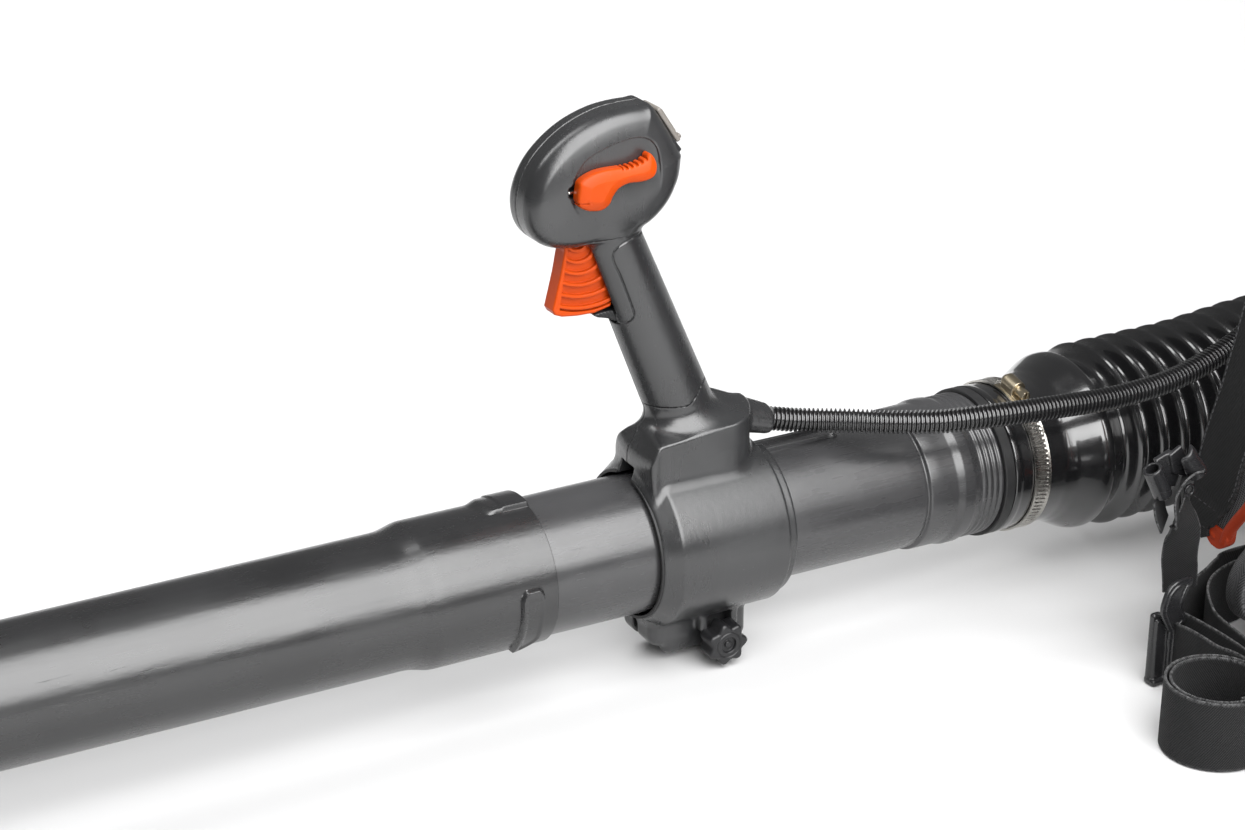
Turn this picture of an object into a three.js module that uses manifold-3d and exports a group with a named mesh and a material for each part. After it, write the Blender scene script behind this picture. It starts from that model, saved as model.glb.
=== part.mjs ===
// Backpack leaf blower.
// Millimetres, +Z up. The origin is the middle of the base tray's underside, on the ground.
// +X runs from the nozzle towards the engine, so the wearer faces -X and their right is +Y.
import * as THREE from 'three';
import { mergeVertices } from 'three/addons/utils/BufferGeometryUtils.js';
import Module from 'manifold-3d';

const wasm = await Module();
wasm.setup();

// ---------------------------------------------------------------- driving dimensions
const GAP = 0.35;               // clearance between touching pieces
const ROUND = 24;               // sides of a round piece
const SMALL_ROUND = 12;

// The wand: the tubes and the handle, measured from the handle collar's front edge.
const WAND = { x: -590, y: 250, z: 82 };
const NOZZLE_TIP = -760;
const NOZZLE_JOINT = -560;
const TUBE_WALL = 2.2;
const BELL_EDGE = -73;
const SLEEVE_STEP = 204;
const SLEEVE_END = 262;
const SPIGOT_END = 318;
const CUFF_FRONT = 270.4;
const CLAMP_FRONT = 285.5;
const CLAMP_WIDTH = 13;
const FIRST_CREST = 367;
const CREST_PITCH = 18.2;
const CREST_COUNT = 10;
const BELLOWS_END = 560;
const BELLOWS_RISE = 6;         // how far the bellows climbs on its way to the elbow

// The handle collar round the rear tube.
const COLLAR_RADIUS = 56.5;
const COLLAR_BORE = 46.9;
const SHELL_SPLIT = 2;          // the plane between the two handle shells
const GRIP_LEAN = THREE.MathUtils.degToRad(22.5);

// The pack.
const FAN = { y: 0, z: 235 };
const HOUSING = { front: -22, split: 25, rear: 72, wall: 3 };
const VOLUTE = { start: 142, end: 195, tongue: -30, outletEdge: 130 };
const IMPELLER_RADIUS = 128;
const DUCT_RADIUS = 48;
const ELBOW_BEND = 70;
const FRAME_PANEL = { front: -100, back: -80, halfWidth: 165, top: 470 };
const BASE = { thickness: 16, front: -112, rear: 205, halfWidth: 180 };

const X_AXIS = new THREE.Vector3(1, 0, 0);
const Y_AXIS = new THREE.Vector3(0, 1, 0);
const Z_AXIS = new THREE.Vector3(0, 0, 1);

const model = new THREE.Group();
const wand = new THREE.Group();
wand.position.set(WAND.x, WAND.y, WAND.z);
model.add(wand);

// ---------------------------------------------------------------- materials
const paint = (color, roughness, metalness = 0) => ({ color, roughness, metalness });
const TUBE_GREY = paint(0x3a3a3c, 0.5);
const TUBE_BLACK = paint(0x262628, 0.45);
const SHELL_GREY = paint(0x2c2d2f, 0.55);
const ORANGE = paint(0xf0530f, 0.4);
const RUBBER = paint(0x0c0c0d, 0.3);
const BLACK_PLASTIC = paint(0x161617, 0.5);
const STEEL = paint(0xb9b7ae, 0.3, 1);
const CAST = paint(0x8d8f92, 0.5, 1);
const WEBBING = paint(0x17181a, 0.9);
const MESH_FABRIC = paint(0x4b4c50, 0.95);
const TANK_WHITE = paint(0xd9dbd6, 0.5);

// ---------------------------------------------------------------- solids
/** Merges a geometry's shared vertices, drops its collapsed triangles and turns its faces out. */
function closed(geometry) {
  geometry.deleteAttribute('normal');
  geometry.deleteAttribute('uv');
  const merged = mergeVertices(geometry, 1e-3);
  const index = merged.index.array;
  const place = merged.attributes.position;
  const kept = [];
  let volume = 0;
  const a = new THREE.Vector3();
  const b = new THREE.Vector3();
  const c = new THREE.Vector3();
  for (let i = 0; i < index.length; i += 3) {
    const [p, q, r] = [index[i], index[i + 1], index[i + 2]];
    if (p === q || q === r || r === p) continue;
    kept.push(p, q, r);
    a.fromBufferAttribute(place, p);
    b.fromBufferAttribute(place, q);
    c.fromBufferAttribute(place, r);
    volume += a.dot(b.cross(c));
  }
  if (volume < 0) {
    for (let i = 0; i < kept.length; i += 3) {
      [kept[i + 1], kept[i + 2]] = [kept[i + 2], kept[i + 1]];
    }
  }
  merged.setIndex(kept);
  return merged;
}

function toManifold(geometry) {
  const tidy = closed(geometry);
  return new wasm.Manifold(new wasm.Mesh({
    numProp: 3,
    vertProperties: new Float32Array(tidy.attributes.position.array),
    triVerts: new Uint32Array(tidy.index.array),
  }));
}

function toGeometry(manifold) {
  const mesh = manifold.getMesh();
  const geometry = new THREE.BufferGeometry();
  geometry.setAttribute('position', new THREE.BufferAttribute(new Float32Array(mesh.vertProperties), 3));
  geometry.setIndex([...mesh.triVerts]);
  return geometry;
}

const join = (...solids) => toGeometry(solids.map(toManifold).reduce((whole, next) => whole.add(next)));

const cut = (solid, ...tools) => toGeometry(
  tools.map(toManifold).reduce((whole, tool) => whole.subtract(tool), toManifold(solid)));

const common = (first, second) => toGeometry(toManifold(first).intersect(toManifold(second)));

function add(name, geometry, { color, roughness, metalness }, parent = model) {
  const solid = closed(geometry);
  solid.computeVertexNormals();
  const mesh = new THREE.Mesh(solid, new THREE.MeshStandardMaterial({ color, roughness, metalness }));
  mesh.name = name;
  parent.add(mesh);
  return mesh;
}

// ---------------------------------------------------------------- shapes
const box = (x0, x1, y0, y1, z0, z1) => new THREE.BoxGeometry(x1 - x0, y1 - y0, z1 - z0)
  .translate((x0 + x1) / 2, (y0 + y1) / 2, (z0 + z1) / 2);

/** A rod of one radius between two points. */
function rod(from, to, radius, sides = SMALL_ROUND) {
  const start = new THREE.Vector3(...from);
  const end = new THREE.Vector3(...to);
  const axis = end.clone().sub(start);
  const turn = new THREE.Quaternion().setFromUnitVectors(Y_AXIS, axis.clone().normalize());
  const middle = start.add(end).multiplyScalar(0.5);
  return new THREE.CylinderGeometry(radius, radius, axis.length(), sides)
    .applyQuaternion(turn).translate(middle.x, middle.y, middle.z);
}

/** A turned piece about the X axis. The profile is a list of [x, radius]. */
function turnedAboutX(profile, sides = ROUND) {
  const points = profile.map(([x, radius]) => new THREE.Vector2(radius, x));
  return new THREE.LatheGeometry(points, sides).rotateZ(-Math.PI / 2);
}

/** A tube about the X axis, from its outer profile and its wall. */
function turnedTube(outer, wall, sides = ROUND) {
  const inner = outer.map(([x, radius]) => [x, radius - wall]).reverse();
  return turnedAboutX([...outer, ...inner, outer[0]], sides);
}

const ring = (x0, x1, outer, inner, sides = ROUND) => turnedAboutX(
  [[x0, outer], [x1, outer], [x1, inner], [x0, inner], [x0, outer]], sides);

/** An outline in the XZ plane, given thickness along Y, with rounded long edges where bevel is given. */
function sidePlate(outline, y0, y1, bevel = 0) {
  const shape = new THREE.Shape(outline.map(([x, z]) => new THREE.Vector2(x, z)));
  return new THREE.ExtrudeGeometry(shape, {
    depth: y1 - y0 - 2 * bevel,
    bevelEnabled: bevel > 0,
    bevelThickness: bevel,
    bevelSize: bevel,
    bevelOffset: -bevel,
    bevelSegments: 2,
    curveSegments: 8,
  }).rotateX(Math.PI / 2).translate(0, y1 - bevel, 0);
}

/** An outline in the YZ plane, given thickness along X. */
function crossPlate(outline, x0, x1, holes = []) {
  const shape = new THREE.Shape(outline.map(([y, z]) => new THREE.Vector2(y, z)));
  shape.holes = holes.map((hole) => new THREE.Path(hole.map(([y, z]) => new THREE.Vector2(y, z))));
  return new THREE.ExtrudeGeometry(shape, { depth: x1 - x0, bevelEnabled: false, steps: 1 })
    .applyMatrix4(new THREE.Matrix4().makeBasis(Y_AXIS, Z_AXIS, X_AXIS)).translate(x0, 0, 0);
}

/** A rounded rectangle's outline. */
function roundedOutline(u0, u1, v0, v1, radius, steps = 3) {
  const corners = [[u1 - radius, v1 - radius], [u0 + radius, v1 - radius],
    [u0 + radius, v0 + radius], [u1 - radius, v0 + radius]];
  const outline = [];
  corners.forEach(([u, v], quarter) => {
    for (let step = 0; step <= steps; step += 1) {
      const angle = (quarter + step / steps) * Math.PI / 2;
      outline.push([u + radius * Math.cos(angle), v + radius * Math.sin(angle)]);
    }
  });
  return outline;
}

/** A rounded block: a rounded rectangle in plan, with a small bevel at top and bottom. */
function block(x0, x1, y0, y1, z0, z1, radius = 8, bevel = 0) {
  const outline = roundedOutline(x0, x1, y0, y1, radius).map(([x, y]) => new THREE.Vector2(x, y));
  return new THREE.ExtrudeGeometry(new THREE.Shape(outline), {
    depth: z1 - z0 - 2 * bevel,
    bevelEnabled: bevel > 0,
    bevelThickness: bevel,
    bevelSize: bevel,
    bevelOffset: -bevel,
    bevelSegments: 2,
  }).translate(0, 0, z0 + bevel);
}

/** A pipe along a list of points. Each point has an outer radius and, if it is hollow, a wall. */
function pipe(points, radii, wall = 0, sides = ROUND) {
  const vertices = [];
  const triangles = [];
  const tangent = new THREE.Vector3();
  const count = points.length;
  const layers = wall > 0 ? 2 : 1;
  points.forEach((point, i) => {
    tangent.copy(points[Math.min(i + 1, count - 1)]).sub(points[Math.max(i - 1, 0)]).normalize();
    const across = new THREE.Vector3().crossVectors(Z_AXIS, tangent).normalize();
    const up = new THREE.Vector3().crossVectors(tangent, across);
    for (let layer = 0; layer < layers; layer += 1) {
      for (let side = 0; side < sides; side += 1) {
        const angle = side * 2 * Math.PI / sides;
        const radius = radii[i] - layer * wall;
        const vertex = point.clone().addScaledVector(across, radius * Math.cos(angle))
          .addScaledVector(up, radius * Math.sin(angle));
        vertices.push(...vertex.toArray());
      }
    }
  });
  const at = (i, layer, side) => (i * layers + layer) * sides + (side % sides);
  const quad = (a, b, c, d) => triangles.push(a, b, c, a, c, d);
  for (let side = 0; side < sides; side += 1) {
    for (let i = 0; i + 1 < count; i += 1) {
      quad(at(i, 0, side), at(i, 0, side + 1), at(i + 1, 0, side + 1), at(i + 1, 0, side));
      if (wall > 0) quad(at(i, 1, side + 1), at(i, 1, side), at(i + 1, 1, side), at(i + 1, 1, side + 1));
    }
    if (wall > 0) {
      quad(at(0, 0, side + 1), at(0, 0, side), at(0, 1, side), at(0, 1, side + 1));
      const end = count - 1;
      quad(at(end, 0, side), at(end, 0, side + 1), at(end, 1, side + 1), at(end, 1, side));
    } else if (side > 0 && side + 1 < sides) {
      triangles.push(at(0, 0, 0), at(0, 0, side + 1), at(0, 0, side));
      triangles.push(at(count - 1, 0, 0), at(count - 1, 0, side), at(count - 1, 0, side + 1));
    }
  }
  const geometry = new THREE.BufferGeometry();
  geometry.setAttribute('position', new THREE.Float32BufferAttribute(vertices, 3));
  geometry.setIndex(triangles);
  return geometry;
}

/** A flat band along a list of points, as wide as given along the direction across. */
function band(points, across, width, thickness) {
  const half = new THREE.Vector3(...across).normalize().multiplyScalar(width / 2);
  const path = points.map((point) => new THREE.Vector3(...point));
  const vertices = [];
  const triangles = [];
  path.forEach((point, i) => {
    const tangent = path[Math.min(i + 1, path.length - 1)].clone().sub(path[Math.max(i - 1, 0)]);
    const out = new THREE.Vector3().crossVectors(half, tangent).normalize().multiplyScalar(thickness / 2);
    for (const [side, face] of [[-1, -1], [1, -1], [1, 1], [-1, 1]]) {
      vertices.push(...point.clone().addScaledVector(half, side).addScaledVector(out, face).toArray());
    }
    if (i === 0) return;
    for (let corner = 0; corner < 4; corner += 1) {
      const [a, b] = [4 * (i - 1) + corner, 4 * (i - 1) + (corner + 1) % 4];
      triangles.push(a, b, b + 4, a, b + 4, a + 4);
    }
  });
  const last = 4 * (path.length - 1);
  triangles.push(0, 2, 1, 0, 3, 2, last, last + 1, last + 2, last, last + 2, last + 3);
  const geometry = new THREE.BufferGeometry();
  geometry.setAttribute('position', new THREE.Float32BufferAttribute(vertices, 3));
  geometry.setIndex(triangles);
  return geometry;
}

const smooth = (points, steps) => new THREE.CatmullRomCurve3(
  points.map((point) => new THREE.Vector3(...point)), false, 'centripetal').getSpacedPoints(steps);

const asLists = (vectors) => vectors.map((vector) => vector.toArray());

// ---------------------------------------------------------------- wand: tubes
const NOZZLE_PROFILE = [[NOZZLE_TIP, 36.5], [NOZZLE_TIP + 110, 39.5], [NOZZLE_JOINT - 30, 41.2],
  [NOZZLE_JOINT - 22, 44.9], [NOZZLE_JOINT + 44, 44.9]];
const FRONT_TUBE_PROFILE = [[NOZZLE_JOINT - 18, 41.3], [NOZZLE_JOINT + 50, 41.6], [-165, 43.4], [-152, 46.8],
  [BELL_EDGE, 46.9]];
const REAR_TUBE_PROFILE = [[-138, 43.6], [BELL_EDGE - 1, 43.9], [BELL_EDGE + 3, 44.4],
  [SLEEVE_STEP - 2, 46.5],
  [SLEEVE_STEP, 48.4], [SLEEVE_STEP + 22, 48.7], [SLEEVE_STEP + 27, 50.2], [SLEEVE_STEP + 34, 50.2],
  [SLEEVE_STEP + 38, 48.9], [SLEEVE_END, 48.9], [SLEEVE_END, 46.5], [SPIGOT_END, 46.5]];

function nozzle() {
  add('nozzle', turnedTube(NOZZLE_PROFILE, TUBE_WALL), TUBE_BLACK, wand);
}

/** The raised cover over a bayonet slot, on a bell's rim at the given angle round the tube. */
function bayonetCover(edge, radius, angle) {
  return box(edge - 34, edge - 1, -15, 15, radius - 3.2, radius + 3.4).rotateX(angle);
}

const BAYONET_ANGLES = [Math.PI * 0.02, Math.PI * 0.58, -Math.PI * 0.5];

function frontTube() {
  const bell = turnedTube(FRONT_TUBE_PROFILE, TUBE_WALL);
  const radius = 46.9;
  const covers = BAYONET_ANGLES.map((angle) => bayonetCover(BELL_EDGE, radius, angle));
  const bore = turnedAboutX([[-151, 0], [-151, radius - TUBE_WALL], [BELL_EDGE + 5, radius - TUBE_WALL],
    [BELL_EDGE + 5, 0]]);
  add('front_tube', cut(join(bell, ...covers), bore), TUBE_BLACK, wand);
}

function rearTube() {
  const rails = [-6, 6].map((y) => box(10, 150, y - 1.2, y + 1.2, 44.1, 48.3));
  const bore = [[SPIGOT_END, 44.3], [SLEEVE_STEP, 44.3], [-138, 41.9]];
  const shell = turnedAboutX([...REAR_TUBE_PROFILE, ...bore, REAR_TUBE_PROFILE[0]]);
  add('rear_tube', join(shell, ...rails), TUBE_GREY, wand);
  add('gasket_ring', ring(SLEEVE_END + GAP, CUFF_FRONT - GAP, 51.5, 46.5 + GAP), RUBBER, wand);
}

// ---------------------------------------------------------------- bellows, clamps and elbow
const bellowsRise = (x) => BELLOWS_RISE * THREE.MathUtils.smoothstep(x, 440, BELLOWS_END - 22);

/** The bellows hose: a plain cuff, a cone and its pleats, then the rear cuff. */
function bellows() {
  const stations = [[CUFF_FRONT, 51.4], [318, 51.4], [326, 53.5], [347, 62], [355, 62.5], [359, 57]];
  for (let crest = 0; crest < CREST_COUNT; crest += 1) {
    const x = FIRST_CREST + crest * CREST_PITCH;
    stations.push([x, 64.5], [x + CREST_PITCH / 2, 56]);
  }
  stations.push([BELLOWS_END - 20, 52.5], [BELLOWS_END, 52.5]);
  const points = stations.map(([x]) => new THREE.Vector3(x, 0, bellowsRise(x)));
  add('bellows_hose', pipe(points, stations.map(([, radius]) => radius), 4.4), RUBBER, wand);
}

/** A worm-drive hose clamp: its band, and the worm housing and screw that stand on it. */
function hoseClamp(place, x0, radius, z, lean) {
  const x1 = x0 + CLAMP_WIDTH;
  const middle = x0 + CLAMP_WIDTH / 2;
  const bandRing = ring(x0, x1, radius + 1.4, radius + GAP);
  add(`clamp_band_${place}`, bandRing.translate(0, 0, z), STEEL, wand);
  const seat = radius + 1.4 + GAP;
  const housing = block(middle - 7.5, middle + 7.5, -9, 9, seat + 0.6, seat + 9, 3);
  const screw = rod([middle, -16, seat + 6], [middle, 13, seat + 6], 4.6, 12);
  add(`clamp_screw_${place}`, join(housing, screw).rotateX(lean).translate(0, 0, z), STEEL, wand);
}

/** The elbow turns the duct from the fan housing's outlet, facing +Y, to the wand, facing -X. */
function elbow() {
  const z = WAND.z + BELLOWS_RISE;
  const frontX = WAND.x + BELLOWS_END - 21;
  const bendX = WAND.x + BELLOWS_END + 5;
  const points = [new THREE.Vector3(frontX, WAND.y, z), new THREE.Vector3(bendX - 4, WAND.y, z),
    new THREE.Vector3(bendX - 3, WAND.y, z)];
  const radii = [47.2, 47.2, 50];
  for (let step = 0; step <= 6; step += 1) {
    const angle = step / 6 * Math.PI / 2;
    points.push(new THREE.Vector3(bendX + ELBOW_BEND * Math.sin(angle),
      WAND.y - ELBOW_BEND * (1 - Math.cos(angle)), z));
    radii.push(50);
  }
  const flangeY = WAND.y - ELBOW_BEND - 2;
  const bendEnd = bendX + ELBOW_BEND;
  for (const [y, radius] of [[flangeY, 50], [flangeY - 1, 56], [flangeY - 9, 56]]) {
    points.push(new THREE.Vector3(bendEnd, y, z));
    radii.push(radius);
  }
  const outer = pipe(points, radii);
  const bore = points.map((point) => point.clone());
  bore[0].x -= 5;
  bore[bore.length - 1].y -= 5;
  add('elbow', cut(outer, pipe(bore, bore.map(() => 44))), TUBE_GREY);
  return { x: bendEnd, y: flangeY - 9, z };
}

// ---------------------------------------------------------------- handle
const HEAD_OUTLINE = [[2, 293], [-22, 291], [-45, 281], [-64, 265], [-74, 246], [-73, 228], [-64, 215],
  [-48, 211], [-24, 210], [8, 216], [22, 228], [31, 243], [33, 259], [12, 291]];
const SADDLE_OUTLINE = [[-7, 30], [-7, 66], [-2, 75], [6, 79], [13, 84], [17, 92], [22, 101], [62, 101],
  [70, 93], [88, 84], [96, 76], [96, 30]];

/** A point on the grip's leaning centre line, at a height above the tube axis. */
const gripX = (z) => 35 - (z - 97) * Math.tan(GRIP_LEAN);

/** The leaning grip, an oval that widens towards its foot. */
function gripSolid() {
  const heights = [60, 92, 120, 165, 205, 235];
  const rings = heights.map((z) => {
    const share = (z - 92) / (210 - 92);
    return { z, alongX: 24 - 3 * share, alongY: 18.5 - 1.5 * share };
  });
  const vertices = [];
  const triangles = [];
  const sides = 20;
  rings.forEach(({ z, alongX, alongY }, level) => {
    for (let side = 0; side < sides; side += 1) {
      const angle = side * 2 * Math.PI / sides;
      vertices.push(gripX(z) + alongX * Math.cos(angle), alongY * Math.sin(angle), z);
      if (level === 0) continue;
      const [a, b] = [(level - 1) * sides + side, (level - 1) * sides + (side + 1) % sides];
      triangles.push(a, b, b + sides, a, b + sides, a + sides);
    }
  });
  const top = (rings.length - 1) * sides;
  for (let side = 1; side + 1 < sides; side += 1) {
    triangles.push(0, side + 1, side, top, top + side, top + side + 1);
  }
  const geometry = new THREE.BufferGeometry();
  geometry.setAttribute('position', new THREE.Float32BufferAttribute(vertices, 3));
  geometry.setIndex(triangles);
  return geometry;
}

const CLAMP_BOLT = { x: 50, z: -65 };
const TRIGGER_PIVOT = { x: -38, z: 232 };
const TRIGGER_HALF_WIDTH = 6.5;
const TRIGGER_POCKET = TRIGGER_HALF_WIDTH + 1;

/** The whole handle before it is split: head, grip, saddle, collar, clamp ears and conduit boss. */
function handleBody() {
  const collar = turnedAboutX([[0, 0], [0, 50], [2, 51], [11, COLLAR_RADIUS], [90, COLLAR_RADIUS], [96, 54],
    [96, 0]]);
  const head = sidePlate(HEAD_OUTLINE, -20, 20, 7);
  const saddle = sidePlate(SADDLE_OUTLINE, -27, 27, 7);
  const ears = block(14, 78, -22, 22, -76, -40, 6);
  const boss = rod([60, 8, 74], [103, -2, 66.5], 12.5);
  const body = join(collar, head, gripSolid(), saddle, ears, boss);
  const bore = turnedAboutX([[-12, 0], [-12, COLLAR_BORE], [101, COLLAR_BORE], [101, 0]]);
  const railGroove = box(-12, 101, -9.5, 9.5, 40, 49.5);
  const clampSlot = box(-12, 101, -3, 3, -90, -40);
  const boltHole = rod([CLAMP_BOLT.x, -40, CLAMP_BOLT.z], [CLAMP_BOLT.x, 40, CLAMP_BOLT.z], 3.6);
  const triggerPocket = box(-58, -12, -TRIGGER_POCKET, TRIGGER_POCKET, 200, 247);
  const gripPocket = box(-30, 5, -TRIGGER_POCKET, TRIGGER_POCKET, 149, 212);
  return cut(body, bore, railGroove, clampSlot, boltHole, triggerPocket, gripPocket);
}

function handle() {
  const body = handleBody();
  const near = box(-200, 200, -100, SHELL_SPLIT - GAP / 2, -100, 320);
  const far = box(-200, 200, SHELL_SPLIT + GAP / 2, 100, -100, 320);
  add('handle_shell_left', common(body, near), SHELL_GREY, wand);
  add('handle_shell_right', common(body, far), SHELL_GREY, wand);
}

/** The screw that closes the clamp, and the lobed knob on its near end. */
function clampKnob() {
  const { x, z } = CLAMP_BOLT;
  const head = rod([x, 22.4, z], [x, 27, z], 7, 6);
  const shank = rod([x, -27, z], [x, 25, z], 3);
  add('clamp_bolt', join(head, shank), STEEL, wand);
  const lobes = [];
  for (let lobe = 0; lobe < 7; lobe += 1) {
    const angle = lobe * 2 * Math.PI / 7;
    const [dx, dz] = [10.6 * Math.cos(angle), 10.6 * Math.sin(angle)];
    lobes.push(rod([x + dx, -46, z + dz], [x + dx, -31, z + dz], 4.1, 10));
  }
  const core = rod([x, -46, z], [x, -31, z], 11.4, 21);
  const neck = rod([x, -33, z], [x, -22.4, z], 8);
  const hole = rod([x, -31, z], [x, -20, z], 3.4);
  const recess = rod([x, -50, z], [x, -43, z], 5);
  add('clamp_knob', cut(join(core, ...lobes, neck), hole, recess), BLACK_PLASTIC, wand);
}

/** The throttle trigger, its pin, its return spring and the small lock button under it. */
function trigger() {
  const { x, z } = TRIGGER_PIVOT;
  const outline = [[-46.5, 226], [-46, 207], [-49, 192], [-54.5, 170.5], [-52, 167.5], [-41, 165],
    [-26, 164.5], [-15, 167], [-12.5, 172], [-27, 208], [-30, 222], [-31, 236], [-45, 240]];
  const blade = sidePlate(outline, -TRIGGER_HALF_WIDTH, TRIGGER_HALF_WIDTH, 1.5);
  const bore = rod([x, -20, z], [x, 20, z], 3.1);
  add('throttle_trigger', cut(blade, bore), ORANGE, wand);
  add('trigger_pin', rod([x, -7.1, z], [x, 7.1, z], 2.9, 12), STEEL, wand);
  const spring = turnedAboutX([[-6.8, 0], [-6.8, 3.4], [6.8, 3.4], [6.8, 0]], 12)
    .rotateZ(Math.PI / 2).translate(-19, 0, 240);
  add('trigger_spring', spring, STEEL, wand);
  const buttonOutline = [[-25, 163.3], [-23.5, 161], [-16, 158.8], [-4, 153], [-3, 157], [-11, 163.6]];
  const button = sidePlate(buttonOutline, -6, 6);
  add('lock_button', button, BLACK_PLASTIC, wand);
}

/** The cruise lever on the head's near face. */
function cruiseLever() {
  const outline = [[-46, 243], [-45, 253], [-36, 258.5], [-22, 260], [-8, 261], [0, 266], [6, 264], [8, 256],
    [-3, 249], [-15, 245], [-22, 241], [-29, 236], [-38, 236]];
  const blade = sidePlate(outline, -28.5, -20 - GAP, 1.5);
  add('cruise_lever', blade, ORANGE, wand);
}

/** The stop switch slides along the head's chamfered rear corner. */
function stopSwitch() {
  const slope = Math.atan2(259 - 291, 33 - 12);
  const plate = box(-12, 10, -10, 10, 0, 5).rotateY(-slope).translate(22.5, 0, 275);
  add('stop_switch', plate.translate(0.35, 0, 0.25), STEEL, wand);
}

// ---------------------------------------------------------------- throttle conduit
// Where the conduit's centre line runs, from its ferrule at the handle to the engine cover.
const CONDUIT_DIAMETER = 16;
const CONDUIT_ROUTE = [
  [-485, 248, 148.3], [-470, 243.5, 145.8], [-455, 237, 144.8], [-438, 226, 145], [-416, 212, 144.8],
  [-385, 197, 144.5], [-350, 187, 145.2], [-305, 180.5, 144.5], [-255, 176.5, 143.5], [-204, 175, 149],
  [-150, 178, 166], [-100, 186, 196], [-58, 194, 230], [-20, 198, 262], [20, 197, 288], [58, 189, 303],
  [90, 175, 307.5], [112, 158, 307], [120.5, 143, 306], [121, 128.7, 306],
];

function throttleConduit() {
  const curve = new THREE.CatmullRomCurve3(CONDUIT_ROUTE.map((point) => new THREE.Vector3(...point)));
  const section = new THREE.Shape();
  section.absarc(0, 0, CONDUIT_DIAMETER / 2, 0, 2 * Math.PI);
  const tube = new THREE.ExtrudeGeometry(section, {
    extrudePath: curve, steps: 24, curveSegments: 5, bevelEnabled: false });
  add('throttle_conduit', tube, BLACK_PLASTIC);
}

// ---------------------------------------------------------------- pack: frame and base
function packFrame() {
  const { front, back, halfWidth, top } = FRAME_PANEL;
  const slot = roundedOutline(-58, 58, top - 44, top - 18, 12);
  const window = roundedOutline(-75, 75, 165, 310, 20);
  const outline = roundedOutline(-halfWidth, halfWidth, BASE.thickness + GAP, top, 45);
  add('back_frame', crossPlate(outline, front, back, [slot, window]), BLACK_PLASTIC);
  const tray = block(BASE.front, BASE.rear, -BASE.halfWidth, BASE.halfWidth, 0, BASE.thickness, 30, 3);
  add('base_tray', tray, BLACK_PLASTIC);
  [[-120, 110], [120, 330], [-120, 330]].forEach(([y, z], i) => {
    add(`isolator_${i + 1}`, rod([back + GAP, y, z], [HOUSING.front - GAP, y, z], 17), RUBBER);
  });
}

// ---------------------------------------------------------------- pack: fan
/** The volute's outline: a spiral that opens into a straight outlet towards +Y. */
function voluteOutline(inset) {
  const outline = [];
  const { start, end, tongue, outletEdge } = VOLUTE;
  const last = 270;
  for (let degrees = tongue; degrees <= last; degrees += 15) {
    const radius = start + (end - start) * (degrees - tongue) / (last - tongue) - inset;
    const angle = THREE.MathUtils.degToRad(degrees);
    outline.push([FAN.y + radius * Math.cos(angle), FAN.z + radius * Math.sin(angle)]);
  }
  const floor = FAN.z - end + inset;
  const roof = WAND.z + BELLOWS_RISE + DUCT_RADIUS - inset;
  const reach = outletEdge + (inset > 0 ? 10 : 0);
  outline.push([reach, floor], [reach, roof]);
  return outline;
}

function fanHousing(duct) {
  const { front, split, rear, wall } = HOUSING;
  const outer = voluteOutline(0);
  const inner = voluteOutline(wall);
  const inlet = rod([front - 5, FAN.y, FAN.z], [front + 10, FAN.y, FAN.z], 80, ROUND);
  const shaftHole = rod([rear - 10, FAN.y, FAN.z], [rear + 5, FAN.y, FAN.z], 22, 24);
  const frontHollow = crossPlate(inner, front + wall, split + 1);
  const rearHollow = crossPlate(inner, split - 1, rear - wall);
  const frontHalf = cut(crossPlate(outer, front, split - GAP / 2), frontHollow, inlet);
  const rearHalf = cut(crossPlate(outer, split + GAP / 2, rear), rearHollow, shaftHole);
  add('fan_housing_front', frontHalf, SHELL_GREY);
  add('fan_housing_rear', rearHalf, SHELL_GREY);
  const { outletEdge } = VOLUTE;
  const adapter = block(front, rear, outletEdge + GAP, duct.y - GAP, 40, 136, 10);
  const bore = rod([duct.x, outletEdge - 5, duct.z], [duct.x, duct.y + 5, duct.z], 44, ROUND);
  add('outlet_adapter', cut(adapter, bore), TUBE_GREY);
}

/** The impeller: a back disc, a hub and curved blades. */
function impeller() {
  const disc = rod([44, 0, 0], [48, 0, 0], IMPELLER_RADIUS, ROUND);
  const hub = rod([16, 0, 0], [46, 0, 0], 24, 20);
  const blades = [];
  const bladeCount = 9;
  for (let i = 0; i < bladeCount; i += 1) {
    const spin = i * 2 * Math.PI / bladeCount;
    const line = [0, 0.5, 1].map((share) => {
      const radius = 50 + share * (IMPELLER_RADIUS - 51);
      const angle = spin - 0.55 * share * share;
      return [19, radius * Math.cos(angle), radius * Math.sin(angle)];
    });
    blades.push(band(line, [1, 0, 0], 52, 3));
  }
  const shaftBore = rod([10, 0, 0], [60, 0, 0], 8 + GAP, 20);
  add('impeller', cut(join(disc, hub, ...blades), shaftBore).translate(0, FAN.y, FAN.z), BLACK_PLASTIC);
}

function inletScreen() {
  const x = HOUSING.front - 9;
  const hoops = [60, 35].map((radius) => ring(x, x + 3, radius + 2, radius - 2));
  const bars = [0, 1].map((i) => box(x, x + 3, -84, 84, -1.5, 1.5).rotateX(i * Math.PI / 2));
  const rim = ring(x, HOUSING.front - GAP, 92, 82);
  add('inlet_screen', join(...hoops, ...bars, rim).translate(0, FAN.y, FAN.z), BLACK_PLASTIC);
}

// ---------------------------------------------------------------- pack: engine
const CRANKCASE = { front: HOUSING.rear + GAP, rear: 138 };
const STARTER = { front: 138 + GAP, rear: 186, radius: 68 };

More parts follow.
